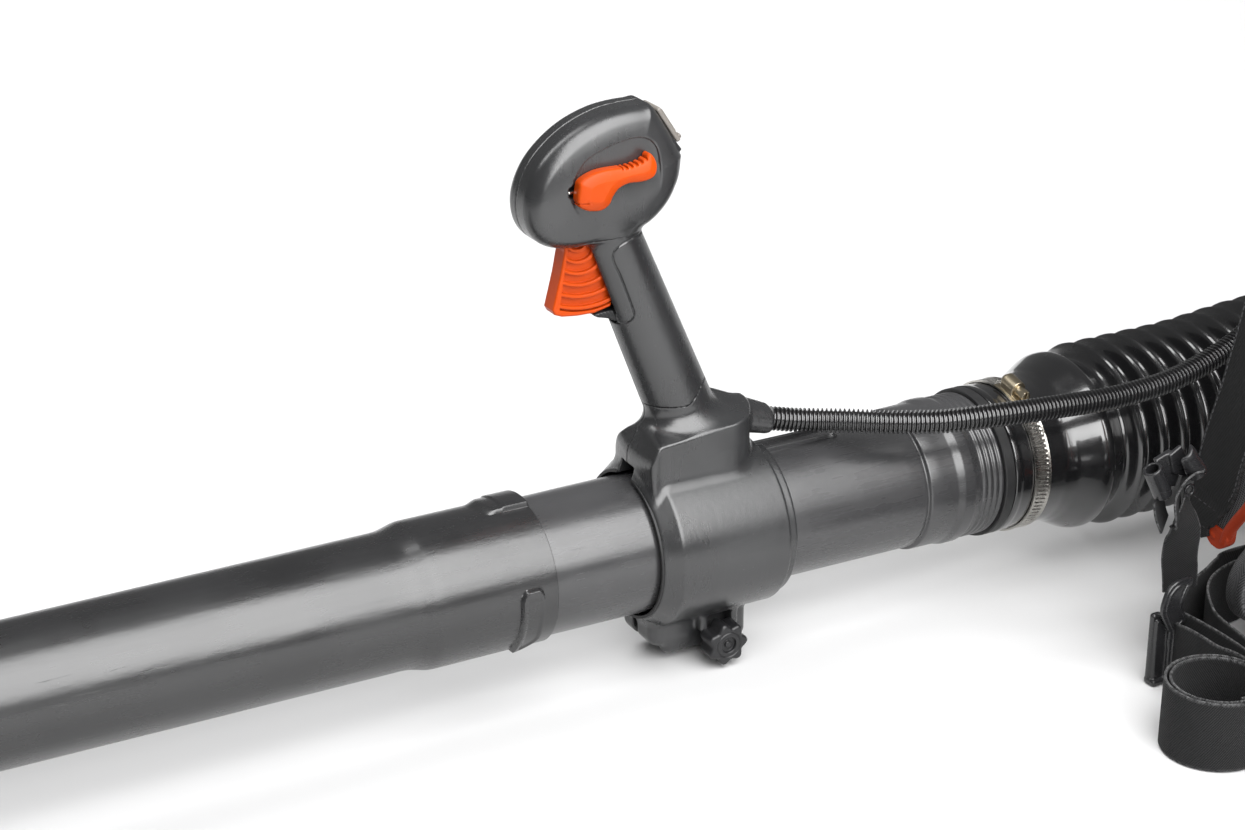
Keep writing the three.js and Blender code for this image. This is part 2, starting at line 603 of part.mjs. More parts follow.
function engineCore() {
  const { front, rear } = CRANKCASE;
  const { y, z } = FAN;
  const shaft = (radius) => rod([front - 60, y, z], [rear + 60, y, z], radius, 20);
  const caseBlock = block(front, rear, y - 44, y + 44, z - 50, z + 50, 12);
  add('crankcase', cut(caseBlock, shaft(9)), CAST);
  const barrel = rod([106, y, z + 50 + GAP], [106, y, 372], 26, 24);
  const fins = [];
  for (let level = 0; level < 8; level += 1) {
    const low = 296 + level * 9;
    fins.push(box(74, 137, y - 40, y + 40, low, low + 2.4));
  }
  add('cylinder', join(barrel, ...fins), CAST);
  add('crankshaft', rod([12, y, z], [176, y, z], 8, 20), STEEL);
  add('flywheel', ring(146, 158, 54, 8 + GAP, 30).translate(0, y, z), CAST);
  const plug = join(rod([106, y, 372 + GAP], [106, y, 384], 8, 6), rod([106, y, 383], [106, y, 388], 4));
  add('spark_plug', plug, STEEL);
}

/** The recoil starter: a cup over the flywheel, its rope and its handle. */
function starter() {
  const { front, rear, radius } = STARTER;
  const { y, z } = FAN;
  const cup = rod([front, y, z], [rear, y, z], radius, ROUND);
  const hollow = rod([front - 5, y, z], [rear - 4, y, z], radius - 4, ROUND);
  const ropeZ = z + 40;
  const ropeHole = rod([rear - 14, y - 60, ropeZ], [rear - 14, y - 30, ropeZ], 4, 12);
  const vents = [];
  for (let i = 0; i < 10; i += 1) {
    vents.push(box(rear - 10, rear + 5, 26, 54, -3, 3).rotateX(i * Math.PI / 5 + 0.3).translate(0, y, z));
  }
  add('starter_housing', cut(cup, hollow, ropeHole, ...vents), SHELL_GREY);
  add('starter_rope', rod([rear - 14, y - 66, ropeZ], [rear - 14, y + 38, ropeZ], 2, 8), WEBBING);
  const gripOutline = roundedOutline(rear - 32, rear + 4, ropeZ - 7, ropeZ + 7, 3, 2);
  const grip = sidePlate(gripOutline, y - 82, y - 66 - GAP, 2.5);
  add('starter_handle', grip, BLACK_PLASTIC);
}

function exhaust() {
  const can = block(78, 136, -104, -41, 292, 366, 12, 4);
  add('muffler', can, CAST);
  const guard = cut(block(74, 142, -118, -44, 286, 374, 14, 3), block(77, 139, -115, -30, 289, 371, 12, 3),
    box(60, 160, -60, -30, 280, 380));
  const slots = [300, 316, 332, 348].map((z) => box(86, 130, -125, -110, z, z + 7));
  add('muffler_guard', cut(guard, ...slots), BLACK_PLASTIC);
}

/** Carburettor, filter element, filter cover with its knob, choke lever and primer bulb. */
function intake() {
  add('carburetor', cut(block(92, 126, 41, 84, 306, 342, 5), rod([109, 30, 324], [109, 100, 324], 8)), CAST);
  add('air_filter', cut(block(84, 136, 84 + GAP, 108, 298, 358, 6), rod([109, 80, 324], [109, 120, 324], 8)),
    MESH_FABRIC);
  const cover = cut(block(78, 142, 84 + GAP, 128, 292, 364, 10, 4), box(81, 139, 70, 124, 295, 361));
  const ferruleHole = rod([98, 120, 340], [98, 140, 340], 3.4);
  add('filter_cover', cut(cover, ferruleHole), SHELL_GREY);
  const knobStem = rod([98, 125, 340], [98, 130, 340], 3);
  const knob = join(rod([98, 128 + GAP, 340], [98, 137, 340], 11, 12), knobStem);
  add('filter_knob', knob, ORANGE);
  const lever = box(142 + GAP, 148, 85, 91, 300, 340);
  add('choke_lever', join(lever, rod([142 + GAP, 88, 304], [148, 88, 304], 6)), ORANGE);
  const bulb = new THREE.SphereGeometry(9, 12, 8).scale(1, 1, 0.9).translate(109, 62, 306 - 3.5 - 8.1);
  add('primer_bulb', bulb, TANK_WHITE);
}

function fuelTank() {
  const neck = rod([150, -118, 100], [150, -118, 122], 20, 24);
  const body = block(84, 198, -150, 150, BASE.thickness + GAP, 112, 22, 6);
  const hollow = block(88, 194, -146, 146, BASE.thickness + GAP + 4, 108, 18, 6);
  const mouth = rod([150, -118, 95], [150, -118, 130], 15, 24);
  add('fuel_tank', cut(join(body, neck), hollow, mouth), TANK_WHITE);
  const cap = rod([150, -118, 116], [150, -118, 136], 26, 24);
  add('fuel_cap', cut(cap, rod([150, -118, 112], [150, -118, 130], 20 + GAP, 24)), ORANGE);
}

function engineCover() {
  const shell = block(76, 196, -40, 40, 300, 420, 24, 10);
  const hollow = block(70, 190, -37, 37, 260, 415, 20, 8);
  const notch = box(60, 150, -60, 60, 280, 402);
  add('engine_cover', cut(shell, hollow, notch, box(60, 220, -60, 60, 280, 330)), ORANGE);
}

// ---------------------------------------------------------------- harness
function harness() {
  const padFace = FRAME_PANEL.front - GAP;
  const pad = block(-110, 110, 100, 400, 0, 24, 40, 8);
  const upright = new THREE.Matrix4().makeBasis(Y_AXIS, Z_AXIS, X_AXIS.clone());
  add('back_pad', pad.applyMatrix4(upright).translate(padFace - 24, 0, 0), MESH_FABRIC);
  for (const [side, name] of [[1, 'right'], [-1, 'left']]) {
    const strap = [[-113, side * 62, 436], [-150, side * 60, 447], [-185, side * 58, 425],
      [-208, side * 58, 370], [-220, side * 62, 300], [-227, side * 70, 232], [-230, side * 80, 175],
      [-232, side * 93, 118], [-229, side * 100, 66]];
    add(`shoulder_strap_${name}`, band(asLists(smooth(strap, 12)), [0, 1, 0], 54, 12), MESH_FABRIC);
    const hipPad = [[-101, side * 62, 58], [-150, side * 64, 56], [-205, side * 62, 52],
      [-245, side * 58, 49]];
    add(`hip_pad_${name}`, band(asLists(smooth(hipPad, 6)), [0, 0, 1], 76, 14), MESH_FABRIC);
  }
}

const ROLL = { x: -332, y: -23, radius: 34.5, height: 48 };

/** The hip belt's webbing: the right half with its slider and its rolled-up tail, and the left half. */
function beltWebbing() {
  const { x, y, radius, height } = ROLL;
  const lift = height / 2;
  const roll = new THREE.LatheGeometry([[radius, 0], [radius, height], [radius - 8, height], [radius - 8, 0],
    [radius, 0]].map(([r, z]) => new THREE.Vector2(r, z)), ROUND).rotateX(Math.PI / 2);
  add('belt_roll', roll.translate(x, y, 0), WEBBING);
  const right = [[-246, 58, lift + 16], [-262, 63, lift + 9], [-276, 69, lift + 2], [-286.5, 71, lift + 0.5]];
  add('belt_webbing_right', band(asLists(smooth(right, 8)), [0, 0, 1], height - 2, 3), WEBBING);
  add('belt_slider', block(-300, -288 - GAP, 58, 84, 0.2, 54, 4), BLACK_PLASTIC);
  const left = [[-246, -58, lift + 16], [-268, -70, lift + 6], [-292, -82, lift + 1]];
  add('belt_webbing_left', band(asLists(smooth(left, 6)), [0, 0, 1], height - 2, 3), WEBBING);
  add('belt_buckle', block(-318, -294, -108, -58, 0.2, 52, 5, 2), BLACK_PLASTIC);
}

// ---------------------------------------------------------------- assembly
nozzle();
frontTube();
rearTube();
bellows();
hoseClamp('front', CLAMP_FRONT, 51.4, 0, 0.23);
hoseClamp('rear', BELLOWS_END - 15, 52.5, BELLOWS_RISE, 0.23);
handle();
clampKnob();
trigger();
cruiseLever();
stopSwitch();
throttleConduit();
const duct = elbow();
packFrame();
fanHousing(duct);
impeller();
inletScreen();
engineCore();
starter();
exhaust();
intake();
fuelTank();
engineCover();
harness();
beltWebbing();

export default model;
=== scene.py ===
"""Backpack leaf blower: the looks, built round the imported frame.

Everything is in the frame's own metres, +Z up. Shapes are worked out in millimetres, the wand's
from the handle collar's front edge on the tube's axis, and turned into metres as they are placed.
"""
import itertools
import math
import bmesh
import bpy
import numpy as np
from mathutils import Matrix, Vector


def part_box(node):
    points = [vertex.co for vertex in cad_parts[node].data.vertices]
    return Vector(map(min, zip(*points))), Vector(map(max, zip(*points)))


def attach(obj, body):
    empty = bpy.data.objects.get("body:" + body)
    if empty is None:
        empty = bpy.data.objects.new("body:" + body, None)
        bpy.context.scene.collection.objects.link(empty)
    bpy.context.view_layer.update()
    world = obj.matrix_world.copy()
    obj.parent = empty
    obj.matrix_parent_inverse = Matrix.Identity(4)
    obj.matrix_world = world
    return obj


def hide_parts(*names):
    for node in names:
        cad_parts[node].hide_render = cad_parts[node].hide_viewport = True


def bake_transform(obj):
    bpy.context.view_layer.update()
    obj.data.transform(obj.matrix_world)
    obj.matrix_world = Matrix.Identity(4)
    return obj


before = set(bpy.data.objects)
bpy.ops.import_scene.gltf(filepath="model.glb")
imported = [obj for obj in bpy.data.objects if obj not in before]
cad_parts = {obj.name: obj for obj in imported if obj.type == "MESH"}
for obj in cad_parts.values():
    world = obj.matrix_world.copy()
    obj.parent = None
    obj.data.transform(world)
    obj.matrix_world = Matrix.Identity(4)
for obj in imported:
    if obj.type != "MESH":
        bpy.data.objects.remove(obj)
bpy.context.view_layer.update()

MM = 0.001
CREASE = math.radians(38)

# ---------------------------------------------------------------- places taken from the frame
GASKET_FRONT = 262.35               # the gasket ring's front face, from the collar's front edge
gasket_low, gasket_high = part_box("gasket_ring")
WAND = Vector((gasket_low.x / MM - GASKET_FRONT, (gasket_low.y + gasket_high.y) / 2 / MM,
               (gasket_low.z + gasket_high.z) / 2 / MM))

CAMERA_LENS = 75.18
CAMERA_PLACE = (-1.31698, -1.06077, 0.81203)
CAMERA_TILT = math.radians(66.86)
CAMERA_HEADING = math.radians(-28.91)

# along the wand, in millimetres from the collar's front edge
NOZZLE_TIP = -760
BELL_EDGE = -73
SLEEVE_STEP = 204
SLEEVE_END = 262
SPIGOT_END = 318
CUFF_FRONT = 270.4
CLAMP_WIDTH = 13
FIRST_CREST = 367
CREST_PITCH = 18.2
CREST_COUNT = 10
VALLEY_RADIUS = 54.0
PLEAT_HEIGHT = 10.7
BELLOWS_SPLIT = 448.9               # the valley between the two halves of the bellows
BELLOWS_END = 560
BELLOWS_RISE = 6
TUBE_WALL = 2.2
BELL_RADIUS = 46.9


def millimetres(node):
    """A CAD node's lowest and highest corners, in millimetres in the frame."""
    low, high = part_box(node)
    return np.array(low) / MM, np.array(high) / MM


def in_frame(x, y, z):
    """A point measured from the collar's front edge, as metres in the frame."""
    return (Vector((x, y, z)) + WAND) * MM


# ---------------------------------------------------------------- camera
def make_camera():
    data = bpy.data.cameras.new("camera")
    data.lens = CAMERA_LENS
    data.sensor_width = 36
    data.clip_start = 0.05
    camera = bpy.data.objects.new("camera", data)
    bpy.context.scene.collection.objects.link(camera)
    camera.location = CAMERA_PLACE
    camera.rotation_euler = (CAMERA_TILT, 0, CAMERA_HEADING)
    bpy.context.scene.camera = camera


# ---------------------------------------------------------------- meshes
def new_object(name, vertices, faces, shade=CREASE):
    """An object from vertices in metres and a list of faces, or an array of quads."""
    mesh = bpy.data.meshes.new(name)
    if isinstance(faces, np.ndarray):
        mesh.vertices.add(len(vertices))
        mesh.vertices.foreach_set("co", np.asarray(vertices, np.float32).ravel())
        mesh.loops.add(faces.size)
        mesh.loops.foreach_set("vertex_index", faces.astype(np.int32).ravel())
        mesh.polygons.add(len(faces))
        mesh.polygons.foreach_set("loop_start", np.arange(0, faces.size, faces.shape[1], dtype=np.int32))
    else:
        mesh.from_pydata([tuple(v) for v in vertices], [], faces)
    mesh.update(calc_edges=True)
    mesh.validate()
    mesh.shade_smooth()
    mesh.set_sharp_from_angle(angle=shade)
    obj = bpy.data.objects.new(name, mesh)
    bpy.context.scene.collection.objects.link(obj)
    return obj


def grid_faces(rows, columns, wrap_rows=False, wrap_columns=False):
    """Quads between neighbouring rows and columns of a grid of vertices."""
    row = np.arange(rows if wrap_rows else rows - 1)[:, None]
    column = np.arange(columns if wrap_columns else columns - 1)[None, :]
    after_row = (row + 1) % rows
    after_column = (column + 1) % columns
    corners = [row * columns + column, row * columns + after_column,
               after_row * columns + after_column, after_row * columns + column]
    return np.stack([np.broadcast_to(c, (row.size, column.size)).ravel() for c in corners], axis=1)


def apply_modifiers(obj):
    """Puts an object's modifiers into its mesh."""
    bpy.context.view_layer.update()
    evaluated = obj.evaluated_get(bpy.context.evaluated_depsgraph_get())
    mesh = bpy.data.meshes.new_from_object(evaluated)
    obj.modifiers.clear()
    obj.data = mesh
    return obj


def unit(vectors):
    return vectors / np.linalg.norm(vectors, axis=1)[:, None]


def directions(points):
    """The direction of travel at each point of a line."""
    return unit(np.gradient(points, axis=0))


def distances(points):
    """How far along a line each of its points lies."""
    return np.concatenate([[0], np.cumsum(np.linalg.norm(np.diff(points, axis=0), axis=1))])


def ease(value, low, high):
    """0 below low, 1 above high, and a smooth step between."""
    share = np.clip((np.asarray(value, float) - low) / (high - low), 0, 1)
    return share * share * (3 - 2 * share)


def rounded_path(points, radius, steps=5):
    """A path of (x, r) points with its inner corners rounded to about the given radius."""
    points = [np.array(p, float) for p in points]
    path = [points[0]]
    for before, here, after in zip(points, points[1:], points[2:]):
        into, out = here - before, after - here
        reach = min(radius, np.linalg.norm(into) * 0.48, np.linalg.norm(out) * 0.48)
        start = here - into / np.linalg.norm(into) * reach
        end = here + out / np.linalg.norm(out) * reach
        for step in range(steps + 1):
            t = step / steps
            path.append((1 - t) ** 2 * start + 2 * t * (1 - t) * here + t * t * end)
    path.append(points[-1])
    return path


def refine(path, longest):
    """Adds points along a path so that no step is longer than given."""
    fine = [path[0]]
    for here, after in zip(path, path[1:]):
        count = max(1, math.ceil(np.linalg.norm(np.array(after) - here) / longest))
        fine += [here + (np.array(after) - here) * (i + 1) / count for i in range(count)]
    return fine


def turned(name, profile, sides=96, centre=(0, 0, 0), raised=None, longest=12, local=True):
    """A piece turned about the X axis from a closed (x, r) profile.

    raised(x, angle, r) gives how far the skin stands above the profile.
    """
    profile = np.array(refine(profile, longest))
    angle = np.linspace(0, 2 * math.pi, sides, endpoint=False)
    x = np.repeat(profile[:, 0][:, None], sides, axis=1)
    r = np.repeat(profile[:, 1][:, None], sides, axis=1)
    turn = np.repeat(angle[None, :], len(profile), axis=0)
    if raised is not None:
        r = r + raised(x, turn, r)
    points = np.stack([x, -r * np.cos(turn), r * np.sin(turn)], axis=2).reshape(-1, 3) + np.array(centre)
    if local:
        points = points + np.array(WAND)
    faces = grid_faces(len(profile), sides, wrap_rows=True, wrap_columns=True)
    return new_object(name, points * MM, face_out(points, faces))


def face_out(points, faces):
    """Turns a closed mesh's quads so that they face outwards."""
    a, b, c, d = (points[faces[:, i]] for i in range(4))
    volume = np.einsum("ij,ij->i", a, np.cross(b, c)).sum() + np.einsum("ij,ij->i", a, np.cross(c, d)).sum()
    return faces[:, ::-1].copy() if volume < 0 else faces


# ---------------------------------------------------------------- solids from distance fields
class Field:
    """A block of space, in millimetres, in which a solid is described by signed distances."""

    def __init__(self, low, high, pitch):
        self.low = np.array(low, float)
        self.pitch = pitch
        self.corners = None
        axes = [np.arange(l, h + pitch, pitch, dtype=np.float32) for l, h in zip(low, high)]
        self.x = axes[0][:, None, None]
        self.y = axes[1][None, :, None]
        self.z = axes[2][None, None, :]

    def slab(self, axis, low, high):
        value = (self.x, self.y, self.z)[axis]
        return np.maximum(low - value, value - high)

    def span(self, axis):
        """The slab between the two ends of the CAD node that the field is laid round."""
        return self.slab(axis, self.corners[0][axis], self.corners[1][axis])

    def disc(self, axis, centre, radius):
        """An endless round bar along an axis; centre gives the two other coordinates."""
        a, b = [v for i, v in enumerate((self.x, self.y, self.z)) if i != axis]
        return np.hypot(a - centre[0], b - centre[1]) - radius

    def ball(self, centre, radius):
        return np.sqrt((self.x - centre[0]) ** 2 + (self.y - centre[1]) ** 2 + (self.z - centre[2]) ** 2) - radius

    def box(self, low, high, round_edge=0.0):
        low, high = np.array(low, float), np.array(high, float)
        middle, half = (low + high) / 2, (high - low) / 2 - round_edge
        q = [np.abs(v - m) - h for v, m, h in zip((self.x, self.y, self.z), middle, half)]
        outside = np.sqrt(sum(np.maximum(part, 0) ** 2 for part in q))
        inside = np.minimum(np.maximum(np.maximum(q[0], q[1]), q[2]), 0)
        return outside + inside - round_edge

    def cone(self, start, end, radius, end_radius=None):
        """A round-ended rod from start to end, with one or two radii."""
        start, end = np.array(start, float), np.array(end, float)
        end_radius = radius if end_radius is None else end_radius
        axis = end - start
        offset = (self.x - start[0], self.y - start[1], self.z - start[2])
        share = np.clip(sum(o * a for o, a in zip(offset, axis)) / axis.dot(axis), 0, 1)
        gap = np.sqrt(sum((o - share * a) ** 2 for o, a in zip(offset, axis)))
        return gap - (radius + share * (end_radius - radius))

    def outline(self, axis, points):
        """An endless prism along an axis, from its outline in the two other coordinates."""
        a, b = [v for i, v in enumerate((self.x, self.y, self.z)) if i != axis]
        return polygon_distance(a, b, points)

    def skin(self, name, distance, smooth=2, local=True):
        """The surface where the distance is zero, as an object."""
        shape = (self.x.size, self.y.size, self.z.size)
        distance = np.broadcast_to(distance, shape).astype(np.float32)
        points, faces = surface_net(distance)
        points = relax(points, faces, smooth)
        points = points * self.pitch + self.low
        if local:
            points = points + np.array(WAND)
        return new_object(name, points * MM, faces)


def polygon_distance(a, b, points):
    """Signed distance to a closed outline, negative inside."""
    nearest = None
    inside = None
    for (a0, b0), (a1, b1) in zip(points, list(points[1:]) + [points[0]]):
        da, db = a1 - a0, b1 - b0
        share = np.clip(((a - a0) * da + (b - b0) * db) / (da * da + db * db + 1e-9), 0, 1)
        gap = (a - a0 - share * da) ** 2 + (b - b0 - share * db) ** 2
        nearest = gap if nearest is None else np.minimum(nearest, gap)
        if db != 0:
            crosses = ((b0 > b) != (b1 > b)) & (a < da * (b - b0) / db + a0)
            inside = crosses if inside is None else inside ^ crosses
    return np.where(inside, -1, 1) * np.sqrt(nearest)


def meet(first, second, radius=0.0):
    """What two solids share, with the edge between them rounded."""
    if radius <= 0:
        return np.maximum(first, second)
    reach = np.hypot(np.maximum(first + radius, 0), np.maximum(second + radius, 0))
    return np.minimum(np.maximum(first, second), -radius) + reach


def join(first, second, radius=0.0):
    """Two solids joined, with a fillet between them."""
    if radius <= 0:
        return np.minimum(first, second)
    reach = np.hypot(np.maximum(radius - first, 0), np.maximum(radius - second, 0))
    return np.maximum(np.minimum(first, second), radius) - reach


def cut(solid, tool, radius=0.0):
    return meet(solid, -tool, radius)


def sheets(value, places, half):
    """Flat sheets across an axis, at each of the given places."""
    return np.minimum.reduce([np.abs(value - place) - half for place in places])


def comb(value, pitch, half):
    """Evenly spaced sheets, one where the value is a multiple of the pitch."""
    return np.abs(value / pitch - np.round(value / pitch)) * pitch - half


def hexagon(centre, reach):
    return [(centre[0] + reach * math.cos(a), centre[1] + reach * math.sin(a)) for a in np.arange(6) * math.pi / 3]


def surface_net(distance):
    """A quad mesh of the zero surface, in grid steps from the block's corner."""
    inside = distance < 0
    cells = tuple(n - 1 for n in distance.shape)
    windows = [tuple(slice(o, n + o) for o, n in zip(offset, cells))
               for offset in itertools.product((0, 1), repeat=3)]
    count = sum(inside[w].astype(np.int8) for w in windows)
    mixed = (count > 0) & (count < 8)
    where = np.argwhere(mixed)
    offsets = np.array(list(itertools.product((0, 1), repeat=3)))
    values = np.stack([distance[w][mixed] for w in windows], axis=1)
    total = np.zeros((len(where), 3))
    crossings = np.zeros(len(where))
    for one, two in itertools.combinations(range(8), 2):
        if abs(offsets[one] - offsets[two]).sum() != 1:
            continue
        a, b = values[:, one], values[:, two]
        crossed = (a < 0) != (b < 0)
        share = np.where(crossed, a / np.where(crossed, a - b, 1), 0)
        point = offsets[one] + share[:, None] * (offsets[two] - offsets[one])
        total += point * crossed[:, None]
        crossings += crossed
    points = where + total / crossings[:, None]
    number = np.full(cells, -1, np.int64)
    number[mixed] = np.arange(len(where))
    quads = []
    for axis in range(3):
        near = [slice(1, -1)] * 3
        far = [slice(1, -1)] * 3
        near[axis], far[axis] = slice(0, -1), slice(1, None)
        a, b = inside[tuple(near)], inside[tuple(far)]
        for leaving in (True, False):
            edges = np.argwhere((a & ~b) if leaving else (~a & b))
            base = edges + [0 if i == axis else 1 for i in range(3)]
            others = [i for i in range(3) if i != axis]
            steps = [(0, 0), (1, 0), (1, 1), (0, 1)]
            corners = []
            for first, second in steps:
                cell = base.copy()
                cell[:, others[0]] -= first
                cell[:, others[1]] -= second
                corners.append(number[tuple(cell.T)])
            quad = np.stack(corners, axis=1)
            if leaving != (axis == 1):
                quad = quad[:, ::-1]
            quads.append(quad)
    faces = np.concatenate(quads)
    return points, face_out(points, faces[(faces >= 0).all(axis=1)])


def relax(points, faces, rounds):
    """Evens out a net's vertices, a little at a time and without shrinking it."""
    if rounds == 0:
        return points
    pairs = np.concatenate([faces[:, [i, (i + 1) % 4]] for i in range(4)])
    pairs = np.concatenate([pairs, pairs[:, ::-1]])
    degree = np.bincount(pairs[:, 0], minlength=len(points))[:, None]
    for weight in (0.5, -0.51) * rounds:
        mean = np.stack([np.bincount(pairs[:, 0], points[pairs[:, 1], i], len(points)) for i in range(3)], 1)
        points = points + weight * (mean / np.maximum(degree, 1) - points)
    return points


# ---------------------------------------------------------------- materials
class Nodes:
    """A short way to write a material's nodes."""

    def __init__(self, name):
        self.material = bpy.data.materials.new(name)
        self.material.use_nodes = True
        self.tree = self.material.node_tree
        self.shader = self.tree.nodes["Principled BSDF"]
        self.place = self.add("ShaderNodeTexCoord").outputs["Object"]

    def add(self, kind, links=None, **settings):
        node = self.tree.nodes.new(kind)
        for key, value in settings.items():
            setattr(node, key, value)
        for key, value in (links or {}).items():
            self.set(node, key, value)
        return node

    def set(self, node, key, value):
        if isinstance(value, bpy.types.NodeSocket):
            self.tree.links.new(value, node.inputs[key])
        else:
            node.inputs[key].default_value = value

    def noise(self, scale, detail=3, roughness=0.55, stretch=(1, 1, 1), place=None):
        source = place or self.place
        if stretch != (1, 1, 1):
            source = self.add("ShaderNodeMapping", {"Vector": source, "Scale": stretch}).outputs[0]
        links = {"Vector": source, "Scale": scale, "Detail": detail, "Roughness": roughness}
        return self.add("ShaderNodeTexNoise", links).outputs["Fac"]

    def ramp(self, value, low, high, start=0.0, end=1.0):
        links = {"Value": value, "From Min": low, "From Max": high, "To Min": start, "To Max": end}
        return self.add("ShaderNodeMapRange", links).outputs[0]

    def math(self, operation, a, b=0.0):
        return self.add("ShaderNodeMath", {0: a, 1: b}, operation=operation).outputs[0]

    def times(self, a, b):
        return self.math("MULTIPLY", a, b)

    def plus(self, a, b):
        return self.math("ADD", a, b)

    def pointiness(self):
        return self.add("ShaderNodeNewGeometry").outputs["Pointiness"]

    def mix(self, share, a, b):
        node = self.add("ShaderNodeMix", data_type="RGBA")
        for socket, value in ((0, share), (6, a), (7, b)):
            if isinstance(value, bpy.types.NodeSocket):
                self.tree.links.new(value, node.inputs[socket])
            else:
                node.inputs[socket].default_value = value if socket == 0 else (*value, 1)
        return node.outputs[2]

    def bump(self, height, depth, below=None):
        """Bump from a 0 to 1 height; depth in millimetres."""
        node = self.add("ShaderNodeBump", {"Height": height, "Distance": depth * MM, "Strength": 1.0})
        if below is not None:
            self.tree.links.new(below, node.inputs["Normal"])
        return node.outputs[0]

    def finish(self, color=None, roughness=None, normal=None, **constants):
        for key, value in (("Base Color", color), ("Roughness", roughness), ("Normal", normal)):
            if value is None:
                continue
            if isinstance(value, tuple):
                value = (*value, 1)
            self.set(self.shader, key, value)
        for key, value in constants.items():
            self.shader.inputs[key.replace("_", " ")].default_value = value
        return self.material


def tint(color, factor, lift=0.0):
    """A colour made darker or lighter, and never brighter than 1."""
    return tuple(min(1, c * factor + lift) for c in color)


def moulded(name, color, roughness, grain=0.03, scuffs=1.0, along=0, gloss=0.5, wrinkle=0.0, worn=0.5):
    """Satin moulded plastic: fine grain, flow marks, hairline scratches, dust and rubbed edges."""
    n = Nodes(name)
    lengthwise = [1, 1, 1]
    lengthwise[along] = 0.03
    crosswise = [0.08, 0.08, 0.08]
    crosswise[along] = 1
    fine = n.noise(1500, 2)
    cloudy = n.noise(14, 4)
    flow = n.noise(260, 3, stretch=tuple(lengthwise))
    hairs = n.ramp(n.noise(700, 4, 0.7, tuple(lengthwise)), 0.66, 0.72)
    nicks = n.ramp(n.noise(420, 4, 0.7, tuple(crosswise)), 0.68, 0.74)
    patch = n.ramp(n.noise(22, 2), 0.42, 0.62)
    scratches = n.times(n.math("MAXIMUM", hairs, nicks), patch)
    dust_cell = n.add("ShaderNodeTexVoronoi", {"Vector": n.place, "Scale": 210.0}).outputs
    dust = n.times(n.ramp(dust_cell["Distance"], 0.11, 0.05), n.ramp(n.noise(60, 2), 0.58, 0.66))
    edge = n.ramp(n.pointiness(), 0.53, 0.6)
    rubbed = n.times(edge, n.ramp(n.noise(120, 3), 0.35, 0.7))
    dark = tint(color, 0.82)
    light = tint(color, 1.22)
    pale = tint(color, 1.8, 0.03)
    shade = n.mix(n.ramp(cloudy, 0.3, 0.7), dark, light)
    shade = n.mix(n.times(scratches, 0.5 * scuffs), shade, pale)
    shade = n.mix(n.times(dust, 0.35 * scuffs), shade, tint(color, 1.5, 0.12))
    shade = n.mix(n.times(rubbed, worn), shade, pale)
    rough = n.ramp(n.plus(n.times(cloudy, 0.7), n.times(flow, 0.3)), 0.3, 0.7,
                   roughness - 0.07, roughness + 0.07)
    rough = n.plus(rough, n.times(scratches, 0.12))
    normal = n.bump(fine, grain)
    normal = n.bump(flow, 0.06, normal)
    normal = n.bump(scratches, -0.04, normal)
    if wrinkle > 0:
        folds = n.noise(95, 4, 0.6, tuple(0.35 if i == along else 1 for i in range(3)))
        normal = n.bump(folds, wrinkle, normal)
    return n.finish(shade, rough, normal, Specular_IOR_Level=gloss)


def glossy_rubber(name, color=(0.006, 0.006, 0.0065), roughness=0.2):
    """Shiny moulded rubber with faint flow waves, dust in the folds and rubbed crests."""
    n = Nodes(name)
    wave = n.noise(60, 3)
    fine = n.noise(900, 2)
    point = n.pointiness()
    crest = n.times(n.ramp(point, 0.52, 0.6), n.ramp(n.noise(150, 4), 0.4, 0.75))
    fold = n.times(n.ramp(point, 0.48, 0.42), n.ramp(n.noise(80, 3), 0.35, 0.75))
    shade = n.mix(n.times(crest, 0.4), color, tint(color, 3, 0.01))
    shade = n.mix(n.times(fold, 0.35), shade, (0.035, 0.034, 0.032))
    rough = n.ramp(n.noise(35, 4), 0.3, 0.7, roughness - 0.05, roughness + 0.1)
    rough = n.plus(rough, n.times(fold, 0.25))
    normal = n.bump(wave, 0.18)
    normal = n.bump(fine, 0.012, normal)
    return n.finish(shade, rough, normal, Specular_IOR_Level=0.7, Coat_Weight=1.0, Coat_Roughness=0.07)


def steel(name, color=(0.58, 0.56, 0.52), roughness=0.24, along=0, painted_corner_shade=0.4):
    """Rolled steel strip: fine drawn lines, cloudy tarnish and painted shade darkening its concave corners."""
    n = Nodes(name)
    drawn = [60, 60, 60]
    drawn[along] = 1
    lines = n.noise(60, 3, 0.6, tuple(drawn))
    cloud = n.noise(45, 4)
    point = n.pointiness()
    # Concave corners, found by low pointiness, are mixed towards near black: painted shade.
    corner = n.times(n.ramp(point, 0.49, 0.42), painted_corner_shade)
    shade = n.mix(n.ramp(cloud, 0.35, 0.7), color, tint(color, 0.72))
    shade = n.mix(corner, shade, (0.06, 0.05, 0.045))
    rough = n.ramp(n.plus(n.times(lines, 0.6), n.times(cloud, 0.4)), 0.3, 0.7,
                   roughness - 0.07, roughness + 0.12)
    return n.finish(shade, rough, n.bump(lines, 0.015), Metallic=1.0)


def dress(obj, material, body, slot, *replaced):
    """Gives a piece its material and its body, and hides the CAD nodes it stands for; the slot is not used."""
    obj.data.materials.clear()
    obj.data.materials.append(material)
    if body:
        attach(obj, body)
    if replaced:
        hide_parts(*replaced)
    return obj


